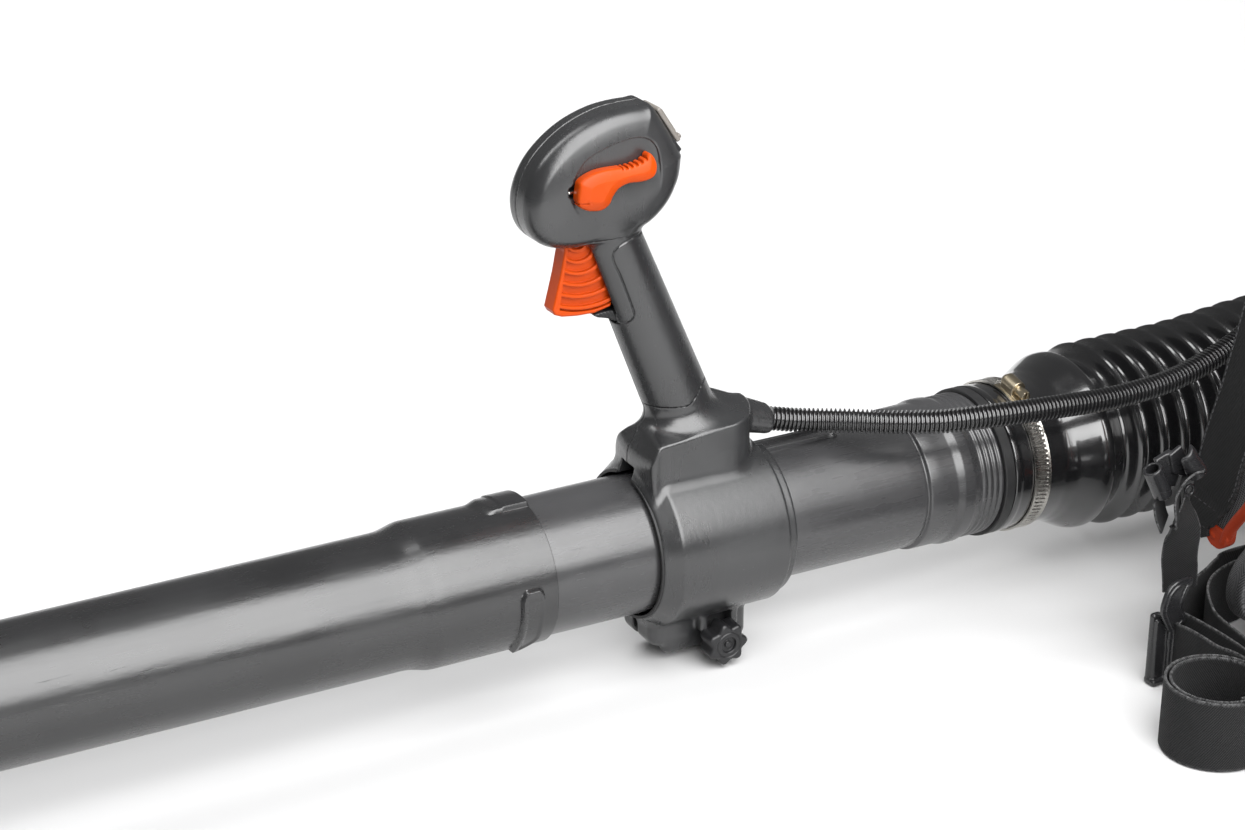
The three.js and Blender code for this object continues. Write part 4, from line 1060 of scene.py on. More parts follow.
def stop_switch():
    """The stop switch's pale slider on the head's rear corner."""
    slope = math.atan2(32, 21)
    f = Field((-17, -11, -1), (15, 11, 6.2), 0.4)
    plate = meet(f.box((-15, -10, 0), (12, 10, 3.4), 1.2), f.z - 3.4, 0.8)
    pad = f.box((-12, -7.4, 2), (7.5, 7.4, 4.4), 1.4)
    ribs = np.maximum(comb(f.x, 2.6, 0.55), 3.7 - f.z)
    pad = cut(pad, np.maximum(ribs, np.abs(f.y) - 5.6))
    stop = f.box((9, -8, 2), (12, 8, 5.2), 0.9)
    obj = f.skin("stop_switch_slider", join(join(plate, pad, 0.6), stop, 0.6), local=False)
    middle = in_frame(22.85, 0, 275.25)
    obj.data.transform(Matrix.Translation(middle) @ Matrix.Rotation(slope, 4, "Y"))
    dress(obj, SWITCH_METAL, "stop_switch", "steel", "stop_switch")


def trigger_hardware():
    """The trigger's pin and its return spring, a real helix inside the head."""
    low, high = millimetres("trigger_pin")
    middle = (low + high) / 2
    f = Field(low - 1, high + 1, 0.3)
    shaft = meet(f.disc(1, (middle[0], middle[2]), 2.85), f.slab(1, low[1], high[1]), 0.5)
    shaft = cut(shaft, np.maximum(f.disc(1, (middle[0], middle[2]), 1.2), f.slab(1, low[1] - 2, low[1] + 0.6)))
    dress(f.skin("trigger_pin_turned", shaft, local=False), STEEL, "handle", "steel", "trigger_pin")
    low, high = millimetres("trigger_spring")
    middle = (low + high) / 2
    axis = int(np.argmax(high - low))
    turns = 9
    share = np.linspace(0, 1, turns * 20 + 1)
    angle = share * turns * 2 * math.pi
    reach = 3.0
    points = np.zeros((len(share), 3))
    points[:, axis] = low[axis] + 0.5 + share * (high[axis] - low[axis] - 1)
    others = [i for i in range(3) if i != axis]
    points[:, others[0]] = middle[others[0]] + reach * np.cos(angle)
    points[:, others[1]] = middle[others[1]] + reach * np.sin(angle)
    coil = swept("trigger_spring_coil", points * MM, np.full(len(share), 0.42 * MM), 8)
    dress(coil, STEEL, "handle", "steel", "trigger_spring")


SWITCH_METAL = moulded("switch_grey", (0.17, 0.155, 0.14), 0.35, grain=0.02, scuffs=0.8, worn=0.3)


def handle():
    grip_and_head()
    collar_and_foot()
    liner()
    knob()
    trigger()
    lever()
    stop_switch()
    trigger_hardware()


# ---------------------------------------------------------------- pack: materials
def cast_metal(name, color, roughness=0.45, sand=0.1, corner_shade_weight=0.5, metallic=0.9):
    """Cast or stamped metal: a sandy skin, blotches, painted shade in the concave corners and rubbed edges."""
    n = Nodes(name)
    blotch = n.noise(30, 5)
    point = n.pointiness()
    shade = n.mix(n.ramp(blotch, 0.35, 0.7), color, tint(color, 0.72))
    # Concave corners, found by low pointiness, are mixed towards near black: painted shade.
    shade = n.mix(n.times(n.ramp(point, 0.49, 0.42), corner_shade_weight), shade, (0.03, 0.026, 0.022))
    shade = n.mix(n.times(n.ramp(point, 0.53, 0.6), 0.5), shade, tint(color, 1.4))
    rough = n.ramp(blotch, 0.3, 0.7, roughness - 0.08, roughness + 0.1)
    normal = n.bump(n.noise(1100, 3), sand)
    return n.finish(shade, rough, n.bump(n.noise(160, 3), sand, normal), Metallic=metallic)


def clear_plastic(name, color):
    """Milky blow-moulded plastic: a waxy skin, faint flow clouds, fuel stains and scuffs."""
    n = Nodes(name)
    cloud = n.noise(18, 4)
    stain = n.ramp(n.noise(9, 5, stretch=(1, 1, 0.4)), 0.5, 0.75)
    scuff = n.ramp(n.noise(500, 4, 0.7, (1, 0.06, 1)), 0.66, 0.74)
    shade = n.mix(n.ramp(cloud, 0.3, 0.7), color, tint(color, 0.9))
    shade = n.mix(n.times(stain, 0.25), shade, (0.62, 0.56, 0.4))
    shade = n.mix(n.times(scuff, 0.3), shade, (0.9, 0.9, 0.88))
    rough = n.ramp(cloud, 0.3, 0.7, 0.38, 0.52)
    normal = n.bump(n.noise(220, 3), 0.08, n.bump(n.noise(1400, 2), 0.02))
    return n.finish(shade, rough, normal, Subsurface_Weight=0.25, Subsurface_Scale=0.02)


def foam(name, color):
    """Open filter foam: a soft skeleton whose pores are painted dark, as painted shade in the open cells."""
    n = Nodes(name)
    cell = n.add("ShaderNodeTexVoronoi", {"Vector": n.place, "Scale": 620.0}).outputs["Distance"]
    pore_depth_and_shade = n.ramp(cell, 0.5, 0.2)
    # The pores are mixed towards near black: painted shade inside the open cells.
    shade = n.mix(pore_depth_and_shade, color, tint(color, 0.15))
    shade = n.mix(n.ramp(n.noise(20, 4), 0.45, 0.7), shade, (0.07, 0.06, 0.045))
    return n.finish(shade, 0.95, n.bump(pore_depth_and_shade, -0.6))


def cloth(name, thread, gap, pitch, kind, depth=0.25, fuzz=0.4, sheen=0.25, roughness=0.85):
    """Woven fabric drawn along its own threads: twill, herringbone, open mesh or plain weave, with painted shade in
    the weave's gaps.
    """
    n = Nodes(name)
    weave = n.add("ShaderNodeAttribute", attribute_name="weave").outputs["Vector"]
    place = n.add("ShaderNodeSeparateXYZ", {"Vector": weave}).outputs
    along, across, rim = place[0], place[1], place[2]

    def wave(value, size, shift=0.0):
        turns = n.math("MULTIPLY_ADD", value, 2 * math.pi / (size * MM))
        turns.node.inputs[2].default_value = shift
        return n.math("SINE", turns)

    if kind == "twill":
        rib = wave(n.plus(along, n.times(across, 0.7)), pitch)
        thread_line = wave(across, pitch * 0.42)
        height = n.ramp(n.plus(rib, n.times(thread_line, 0.45)), -1.2, 1.0)
    elif kind == "herringbone":
        zigzag = n.math("PINGPONG", across, 4.5 * MM)
        rib = wave(n.math("SUBTRACT", along, n.times(zigzag, 1.5)), pitch)
        height = n.ramp(n.plus(rib, n.times(wave(across, 9, 0.5), 0.25)), -1.0, 1.0)
    elif kind == "mesh":
        holes = n.times(wave(along, pitch), wave(across, pitch * 1.15))
        fibre = n.times(wave(n.plus(along, across), 0.5), 0.12)
        height = n.ramp(n.plus(n.math("ABSOLUTE", holes), fibre), 0.55, 0.2)
    else:
        height = n.ramp(n.times(wave(along, pitch), wave(across, pitch)), -1.0, 1.0)
    patches = n.noise(28, 4)
    lint = n.ramp(n.noise(900, 4, 0.7), 0.66, 0.76)
    # The weave's low parts, between and under the threads, take the dark gap colour: painted shade.
    shade = n.mix(height, gap, thread)
    shade = n.mix(n.times(n.ramp(patches, 0.4, 0.75), 0.3), shade, tint(thread, 0.6))
    worn = n.times(n.ramp(rim, 0.9, 0.99), n.ramp(n.noise(500, 3), 0.35, 0.65))
    shade = n.mix(n.times(worn, fuzz), shade, tint(thread, 2.2, 0.08))
    shade = n.mix(n.times(lint, 0.25), shade, tint(thread, 2, 0.1))
    rough = n.ramp(patches, 0.3, 0.7, roughness - 0.08, min(1, roughness + 0.08))
    normal = n.bump(height, depth, n.bump(n.noise(1600, 3), 0.05))
    return n.finish(shade, rough, normal, Sheen_Weight=sheen, Sheen_Roughness=0.4, Specular_IOR_Level=0.25)


CAST = cast_metal("cast_aluminium", (0.42, 0.425, 0.43), 0.42)
# The engine and exhaust castings below have their concave corners darkened more strongly, as painted shade.
DARK_CAST = cast_metal("engine_cast", (0.20, 0.2, 0.205), 0.5, corner_shade_weight=0.7)
EXHAUST = cast_metal("exhaust_steel", (0.30, 0.26, 0.22), 0.38, sand=0.03, corner_shade_weight=0.6)
SHAFT_STEEL = steel("shaft_steel", (0.55, 0.55, 0.56), 0.2)
SCREW_STEEL = steel("screw_steel", (0.32, 0.31, 0.30), 0.35)
PACK_BLACK = moulded("pack_black", (0.016, 0.016, 0.017), 0.48, grain=0.09, along=2)
PACK_GREY = moulded("pack_grey", (0.034, 0.035, 0.037), 0.42, grain=0.06, along=1)
COVER_ORANGE = moulded("cover_orange", (0.40, 0.036, 0.0008), 0.34, grain=0.02, scuffs=0.5, along=1, worn=0.25)
PORCELAIN = moulded("spark_plug_white", (0.5, 0.49, 0.46), 0.2, grain=0.01, scuffs=0.4)
TANK = clear_plastic("tank_milky", (0.40, 0.41, 0.385))
FOAM = foam("filter_foam", (0.05, 0.05, 0.055))
# Each cloth below takes a thread colour, then a darker gap colour; the gap colour is painted shade between the
# threads.
ROPE = cloth("starter_rope_braid", (0.045, 0.045, 0.05), (0.006, 0.006, 0.007), 1.6, "herringbone")
TWILL = cloth("black_twill", (0.013, 0.013, 0.0135), (0.0015, 0.0015, 0.0016), 1.7, "twill", 0.5, 0.3, 0.02)
WEBBING = cloth("black_webbing", (0.020, 0.020, 0.0207), (0.002, 0.002, 0.0022), 1.5, "twill", 0.45, 0.8, 0.03)
TAPE = cloth("herringbone_tape", (0.050, 0.050, 0.052), (0.006, 0.006, 0.0065), 2.2, "herringbone", 0.35, 0.5, 0.08)
AIR_MESH = cloth("spacer_mesh", (0.10, 0.10, 0.103), (0.006, 0.006, 0.007), 3.2, "mesh", 0.5, sheen=0.08)
BINDING = cloth("orange_binding", (0.42, 0.036, 0.001), (0.17, 0.012, 0.001), 1.0, "plain", 0.2, 0.15, 0.05)
BUCKLE = moulded("buckle_black", (0.014, 0.014, 0.015), 0.27, grain=0.03, gloss=0.55, worn=0.9)
LINING = cloth("grey_lining", (0.10, 0.095, 0.125), (0.04, 0.038, 0.055), 0.7, "plain", 0.08, fuzz=0.2)
THREAD = cloth("sewing_thread", (0.07, 0.07, 0.075), (0.02, 0.02, 0.022), 0.6, "plain", 0.08, fuzz=0.2)


# ---------------------------------------------------------------- pack: helpers
shaft_low, shaft_high = millimetres("crankshaft")
FAN_Y = (shaft_low[1] + shaft_high[1]) / 2
FAN_Z = (shaft_low[2] + shaft_high[2]) / 2


def piece(field, distance, name, material, slot, *nodes, body="pack"):
    """A piece given in the frame's own millimetres, skinned and dressed."""
    return dress(field.skin(name, distance, local=False), material, body, slot, *nodes)


def around(node, margin, pitch):
    """A CAD node's lowest and highest corners, and a field over its box with a margin all round."""
    low, high = millimetres(node)
    f = Field(low - margin, high + margin, pitch)
    f.corners = low, high
    return low, high, f


def middle_across(low, high, axis):
    """The middle of a box in the two coordinates across an axis."""
    return tuple((low[i] + high[i]) / 2 for i in range(3) if i != axis)


def about_fan(f):
    """How far each point is from the fan's axis, and at what angle round it."""
    return np.hypot(f.y - FAN_Y, f.z - FAN_Z), np.arctan2(f.z - FAN_Z, f.y - FAN_Y)


def spokes(angle, reach, count, half):
    """Evenly spaced radial bars of even width."""
    step = 2 * math.pi / count
    return np.abs((angle / step + 0.5) % 1 - 0.5) * step * reach - half


def bolt_heads(name, places, axis, radius, height):
    """Socket screws: chamfered round heads with a hexagonal recess and a washer under them."""
    sides = 24
    profile = [(0, radius * 1.35), (0.25 * height, radius * 1.35), (0.25 * height, radius), (0.92 * height, radius),
               (height, radius * 0.9), (height, radius * 0.55), (0.5 * height, radius * 0.5), (0.5 * height, 0.01)]
    socket_levels = (5, 6)
    angle = np.linspace(0, 2 * math.pi, sides, endpoint=False)
    six_sided = np.cos(math.pi / 6) / np.cos((angle + math.pi / 6) % (math.pi / 3) - math.pi / 6)
    rings = []
    for level, (h, r) in enumerate(profile):
        reach = r * (six_sided if level in socket_levels else 1)
        rings.append(np.stack([reach * np.cos(angle), reach * np.sin(angle), np.full(sides, h)], axis=1))
    one = np.concatenate(rings)
    faces = grid_faces(len(profile), sides, wrap_columns=True)
    turn = {0: (2, 0, 1), 1: (1, 2, 0), 2: (0, 1, 2)}[abs(axis) - 1]
    vertices, quads = [], []
    for count, place in enumerate(places):
        point = one * [1, 1, math.copysign(1, axis)]
        vertices.append(point[:, turn] + np.array(place))
        quads.append(faces + count * len(one))
    faces = np.concatenate(quads)
    if axis < 0:
        faces = faces[:, ::-1].copy()
    obj = new_object(name, np.concatenate(vertices) * MM, faces)
    return dress(obj, SCREW_STEEL, "pack", "steel")


def eased(node, name, material, body, slot, width):
    """A CAD node's own shape, with its flat faces joined up and its sharp edges rounded."""
    obj = bpy.data.objects.new(name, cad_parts[node].data.copy())
    obj.data.materials.clear()
    bpy.context.scene.collection.objects.link(obj)
    edit = bmesh.new()
    edit.from_mesh(obj.data)
    bmesh.ops.dissolve_limit(edit, angle_limit=math.radians(2), verts=edit.verts, edges=edit.edges)
    edit.to_mesh(obj.data)
    edit.free()
    bevel = obj.modifiers.new("bevel", "BEVEL")
    bevel.width = width * MM
    bevel.segments = 3
    bevel.limit_method = "ANGLE"
    bevel.angle_limit = math.radians(40)
    apply_modifiers(obj)
    obj.data.shade_smooth()
    obj.data.set_sharp_from_angle(angle=CREASE)
    return dress(obj, material, body, slot, node)


# ---------------------------------------------------------------- pack: frame, base and isolators
def pack_frame():
    low, high, f = around("back_frame", 5, 1.7)
    plate = meet(f.span(1), f.span(2), 45)
    slot = f.box((low[0] - 9, -58, high[2] - 44), (high[0] + 9, 58, high[2] - 18), 12)
    window = f.box((low[0] - 9, -75, 165), (high[0] + 9, 75, 310), 12)
    openings = np.minimum(slot, window)
    solid = meet(cut(plate, openings), f.span(0), 4)
    hollow = meet(plate + 9, -(openings - 9))
    ribs = np.minimum(sheets(f.y, (-128, -92, 92, 128), RIB), sheets(f.z, range(60, int(high[2]) - 60, 62), RIB))
    for y, z in ISOLATORS:
        ribs = np.minimum(ribs, f.disc(0, (y, z), 22))
    solid = cut(solid, meet(meet(hollow, -ribs), -f.x + low[0] + 6, 1.5), 1.0)
    rail = sheets(f.y, (86, -86), 2)
    solid = cut(solid, meet(rail, meet(f.slab(2, 60, high[2] - 60), f.x - low[0] - 1.6)), 0.8)
    piece(f, solid, "frame_panel", PACK_BLACK, "black_plastic", "back_frame")
    anchors = [(low[0], side * 86, z) for side in (-1, 1) for z in (90, 410)]
    bolt_heads("frame_screws", [(x - 0.1, y, z) for x, y, z in anchors], -1, 5, 3)


ISOLATORS = [(-120, 110), (120, 330), (-120, 330)]
RIB = 2.2                           # half a moulded rib's thickness


def isolators():
    """Barrel rubber mounts between the frame and the fan housing, with flat end plates moulded in the same rubber."""
    for number, (y, z) in enumerate(ISOLATORS, 1):
        low, high = millimetres(f"isolator_{number}")
        length = high[0] - low[0]
        line = [(0, 0), (0, 16.8), (3, 16.8), (3, 13.5)]
        for step in range(1, 24):
            share = step / 24
            radius = 13.5 + 2.2 * math.cos(share * 10 * math.pi) - 2.6 * math.sin(share * math.pi)
            line.append((3 + share * (length - 6), radius))
        line += [(length - 3, 13.5), (length - 3, 16.8), (length, 16.8), (length, 0)]
        points = [(low[0] + x, max(r, 0.01)) for x, r in line]
        piece = turned(f"isolator_rubber_{number}", points, 48, (0, y, z), longest=3, local=False)
        dress(piece, RUBBER, "pack", "black_rubber", f"isolator_{number}")


def base_tray():
    _, high, f = around("base_tray", 4, 1.8)
    plan = meet(f.span(0), f.span(1), 30)
    solid = meet(plan, f.span(2), 3)
    well = meet(plan + 8, high[2] - 5 - f.z, 2)
    ribs = np.minimum(sheets(f.y, (-120, -60, 0, 60, 120), RIB), sheets(f.x, (-60, 0, 60), RIB))
    solid = cut(solid, meet(well, -ribs), 0.8)
    seat = millimetres("fuel_tank")
    solid = join(solid, meet(f.box((seat[0][0], seat[0][1], 0), (seat[1][0], seat[1][1], high[2])), plan))
    grooves = meet(np.abs(((f.y + 12) % 24) - 12) - 2.4, meet(f.z - 1.6, plan + 14))
    piece(f, cut(solid, grooves, 0.5), "base_plate", PACK_BLACK, "black_plastic", "base_tray")


# ---------------------------------------------------------------- pack: fan
def volute(inset):
    """The housing's outline, a spiral that opens into a straight outlet."""
    front_low, front_high = millimetres("fan_housing_front")
    start, end, tongue = 142, FAN_Z - front_low[2], -30
    outline = []
    for degrees in range(tongue, 271, 6):
        radius = start + (end - start) * (degrees - tongue) / (270 - tongue) - inset
        angle = math.radians(degrees)
        outline.append((FAN_Y + radius * math.cos(angle), FAN_Z + radius * math.sin(angle)))
    edge = front_high[1] + (10 if inset > 0 else 0)
    outline += [(edge, front_low[2] + inset), (edge, 136 - inset)]
    return outline


def bosses_round(degrees_list):
    """Where the housing's screw bosses stand, just inside its outline."""
    places = []
    for degrees in degrees_list:
        radius = 142 + 53 * (degrees + 30) / 300 - 7
        angle = math.radians(degrees)
        places.append((FAN_Y + radius * math.cos(angle), FAN_Z + radius * math.sin(angle)))
    return places


def fan_housing():
    low, high = millimetres("fan_housing_front")
    rear_high = millimetres("fan_housing_rear")[1]
    bosses = bosses_round(range(-10, 260, 45))
    for name, node, near, far in (("fan_shell_front", "fan_housing_front", low[0], high[0]),
                                  ("fan_shell_rear", "fan_housing_rear", high[0] + 0.3, rear_high[0])):
        f = Field((near - 6, low[1] - 8, low[2] - 8), (far + 6, high[1] + 6, high[2] + 8), 2.0)
        outer = f.outline(0, volute(0))
        front = node == "fan_housing_front"
        face, split = (near, far) if front else (far, near)
        shell = meet(outer, f.slab(0, near, far), 11)
        shell = np.where(np.abs(f.x - split) < 13, meet(outer, f.slab(0, near, far)), shell)
        flange = meet(outer - 3, np.abs(f.x - split) - 4, 1)
        flange = meet(flange, f.y - high[1])
        for y, z in bosses:
            pad = meet(f.disc(0, (y, z), 9), np.abs(f.x - split) - 12, 1.5)
            flange = join(flange, pad, 2)
        shell = join(shell, flange, 2)
        shell = meet(shell, f.slab(0, near, far))
        hollow = f.slab(0, near + 4, far + 9) if front else f.slab(0, near - 9, far - 4)
        shell = cut(shell, meet(f.outline(0, volute(4)), hollow))
        reach, angle = about_fan(f)
        ring_in, ring_out = (104, 112) if front else (78, 84)
        pattern = np.minimum(spokes(angle, reach, 16, 2), meet(reach - ring_out, ring_in - reach))
        pattern = np.minimum(pattern, meet(reach - 150, 146 - reach))
        raised = meet(meet(pattern, outer + 16), (ring_in - 4) - reach)
        level = np.abs(f.x - face) - 2.4
        shell = join(shell, meet(raised, level, 0.8), 1.0)
        if front:
            shell = join(shell, meet(f.disc(0, (FAN_Y, FAN_Z), 99), level, 1), 1.5)
            shell = cut(shell, f.disc(0, (FAN_Y, FAN_Z), 80), 2)
            shell = cut(shell, meet(f.disc(0, (FAN_Y, FAN_Z), 93), f.x - near))
        else:
            shell = cut(shell, f.disc(0, (FAN_Y, FAN_Z), 22))
        piece(f, shell, name, PACK_GREY, "shell_grey", node)
    head = high[0] + 12.3
    bolt_heads("fan_housing_bolts", [(head, y, z) for y, z in bosses], 1, 4.2, 4)


def outlet():
    low, high, f = around("outlet_adapter", 4, 1.5)
    middle = middle_across(low, high, 1)
    square = meet(f.span(0), f.span(2), 10)
    waist = meet(f.disc(1, middle, 48.5), np.abs(f.y - high[1]) - 40)
    share = ease(f.y, low[1] + 8, high[1] - 8)
    body = square * (1 - share) + np.maximum(waist, square) * share
    bead = meet(square, f.slab(1, low[1], low[1] + 7), 1.5)
    rim = meet(meet(f.disc(1, middle, 56), square), f.slab(1, high[1] - 6, high[1]), 1.2)
    solid = join(join(meet(body, f.span(1), 1), bead, 3), rim, 3)
    solid = cut(solid, f.disc(1, middle, 44), 1)
    piece(f, solid, "outlet_duct", TUBE_SATIN, "tube_grey", "outlet_adapter")


def elbow():
    """The bend from the fan's outlet to the bellows, with a bead, a parting line and a flange."""
    low, high = millimetres("elbow")
    z = (low[2] + high[2]) / 2
    flange, start = low[1], low[0]
    straight, bend = 26, 70
    bend_x = start + straight
    stations = [(start + d, WAND.y, 0.0) for d in np.arange(0, straight, 1.0)]
    for turn in np.radians(np.arange(0, 90.1, 2.5)):
        stations.append((bend_x + bend * math.sin(turn), WAND.y - bend * (1 - math.cos(turn)), turn))
    end_x, end_y = bend_x + bend, WAND.y - bend
    stations += [(end_x, end_y - d, math.pi / 2) for d in np.arange(0.5, end_y - flange + 0.01, 0.5)]
    sides = 96
    around_it = np.linspace(0, 2 * math.pi, sides, endpoint=False)
    travelled = 0.0
    rows = []
    for i, (x, y, turn) in enumerate(stations):
        if i:
            travelled += math.hypot(x - stations[i - 1][0], y - stations[i - 1][1])
        radius = 47.0 + 3.0 * float(ease(travelled, 20, 23))
        radius -= 0.5 * float(ease(travelled, 2, 0))
        for bead in (40, 47):
            radius += 1.6 * math.exp(-((travelled - bead) / 1.6) ** 2)
        left = flange + 9 - y if turn == math.pi / 2 else -1
        radius += 6 * float(ease(left, -0.5, 0.5)) - 0.8 * float(ease(left, 8, 9))
        seam = 0.9 * np.exp(-((np.abs(np.sin(around_it)) * radius) / 1.4) ** 2) * (24 < travelled < 130)
        rows.append((x, y, turn, radius + seam))
    rings = []
    bore = np.full(sides, 44.0)
    for x, y, turn, radius in rows + [(*row[:3], bore) for row in reversed(rows)]:
        side = np.array([math.sin(turn), math.cos(turn), 0])
        outwards = np.cos(around_it)[:, None] * side + np.sin(around_it)[:, None] * np.array([0, 0, 1])
        rings.append(np.array([x, y, z]) + radius[:, None] * outwards)
    points = np.concatenate(rings)
    faces = grid_faces(len(rings), sides, wrap_rows=True, wrap_columns=True)
    duct = new_object("elbow_duct", points * MM, face_out(points, faces))
    dress(duct, TUBE_SATIN, "pack", "tube_grey", "elbow")
    screws = []
    for angle in (0.25, 0.75, 1.25, 1.75):
        screws.append((end_x + 53 * math.cos(angle * math.pi), flange + 9, z + 53 * math.sin(angle * math.pi)))
    bolt_heads("elbow_screws", screws, 2, 2.2, 2.4)


def impeller():
    """A hub, a back disc and swept blades with a rounded leading edge."""
    low, high, f = around("impeller", 3, 1.4)
    radius = (high[1] - low[1]) / 2
    reach, angle = about_fan(f)
    disc = meet(reach - radius, np.abs(f.x - high[0] + 2.2) - 1.8, 0.8)
    disc = np.maximum(disc, f.x - high[0])
    hub_line = 24 - 0.35 * np.clip(high[0] - f.x, 0, 40)
    hub = meet(reach - hub_line, f.span(0), 2)
    sweep = angle + 0.55 * ((np.clip(reach, 50, radius) - 50) / (radius - 51)) ** 2
    blade = spokes(sweep, reach * 0.93, 9, 1.6)
    height = low[0] + 3 + 10 * ease(reach, 60, 45)
    blades = meet(meet(blade, meet(reach - radius + 0.5, 46 - reach)), meet(height - f.x, f.x - high[0]), 1)
    solid = join(join(disc, hub, 3), blades, 2)
    solid = cut(solid, reach - 8.4)
    piece(f, solid, "fan_wheel", PACK_BLACK, "black_plastic", "impeller", body="rotor")


def inlet_grille():
    low, _, f = around("inlet_screen", 3, 1.1)
    reach, angle = about_fan(f)
    hoops = sheets(reach, range(14, 84, 10), 1.2)
    bars = spokes(angle + reach * 0.006, reach, 10, 1.5)
    grid = meet(np.minimum(hoops, bars), reach - 86)
    face = meet(grid, f.slab(0, low[0], low[0] + 4), 0.6)
    rim = meet(meet(reach - 92, 83 - reach), f.span(0), 1.5)
    boss = meet(reach - 10, f.slab(0, low[0], low[0] + 5), 1)
    piece(f, join(join(face, rim, 1), boss, 1), "inlet_grille", PACK_BLACK, "black_plastic", "inlet_screen")


# ---------------------------------------------------------------- pack: engine
def engine():
    low, high, f = around("crankcase", 5, 1.3)
    middle = (low[0] + high[0]) / 2
    case = f.box(low, high, 8)
    reach, _ = about_fan(f)
    case = join(case, meet(reach - 40, f.span(0), 3), 4)
    seam = np.abs(f.x - middle) - 0.9
    case = join(case, meet(case - 1.6, np.abs(f.x - middle) - 5, 1), 2)
    case = cut(case, meet(seam, -(case + 1.2)))
    for z in (low[2] + 22, low[2] + 44, low[2] + 66, low[2] + 88):
        case = join(case, meet(meet(np.abs(f.z - z) - 1.6, case - 2.4), f.slab(0, low[0] + 4, high[0] - 4)), 1)
    case = cut(case, reach - 9)
    case = meet(case, f.span(0))
    piece(f, case, "engine_case", DARK_CAST, "cast_metal", "crankcase")
    case_bolts = [(high[0], side * 36, z) for side in (-1, 1) for z in (low[2] + 8, high[2] - 8)]
    bolt_heads("engine_case_bolts", case_bolts, 1, 3, 3)

    low, high, f = around("cylinder", 3, 1.1)
    bore = (106, FAN_Y)
    solid = meet(f.disc(2, bore, 27), f.span(2), 1)
    fin_plan = meet(f.span(0), f.span(1), 14)
    for level in range(8):
        solid = join(solid, meet(fin_plan, np.abs(f.z - (297.2 + level * 9)) - 1.3, 0.6), 1.6)
    flange = meet(f.box((low[0] + 4, -34, low[2]), (high[0] - 4, 34, low[2] + 7), 3), f.span(2))
    head = meet(f.disc(2, bore, 33), f.slab(2, high[2] - 10, high[2]), 3)
    solid = join(join(solid, flange, 2), head, 2)
    for x in (low[0] + 11, high[0] - 11):
        for y in (-26, 26):
            solid = join(solid, meet(f.disc(2, (x, y), 5), f.slab(2, low[2], high[2] - 3)), 1.5)
    piece(f, solid, "cylinder_barrel", CAST, "cast_metal", "cylinder")

    eased("crankshaft", "crank_shaft", SHAFT_STEEL, "rotor", "steel", 1.0)
    low, high, f = around("flywheel", 3, 1.2)
    reach, angle = about_fan(f)
    wheel = meet(reach - 54, f.slab(0, low[0], low[0] + 7), 1)
    wheel = join(wheel, meet(reach - 20, f.span(0), 1), 2)
    fins = meet(meet(spokes(angle, reach, 16, 1.3), meet(reach - 53, 30 - reach)), f.span(0), 0.5)
    wheel = cut(join(wheel, fins, 1.5), reach - 8.4)
    piece(f, wheel, "flywheel_disc", CAST, "cast_metal", "flywheel", body="rotor")

    low, high, f = around("spark_plug", 2, 0.5)
    centre = middle_across(low, high, 2)
    body = meet(f.outline(2, hexagon(centre, 8.6)), f.slab(2, low[2], low[2] + 7), 0.6)
    body = join(body, meet(f.disc(2, centre, 5.6), f.slab(2, low[2] + 5, high[2] - 1), 1.2), 0.5)
    body = cut(body, meet(np.abs(((f.z - low[2]) % 2.4) - 1.2) - 0.35, -f.disc(2, centre, 5.1)))
    body = join(body, meet(f.disc(2, centre, 3), f.slab(2, high[2] - 4, high[2]), 0.6), 0.3)
    piece(f, body, "spark_plug_body", PORCELAIN, "steel", "spark_plug")


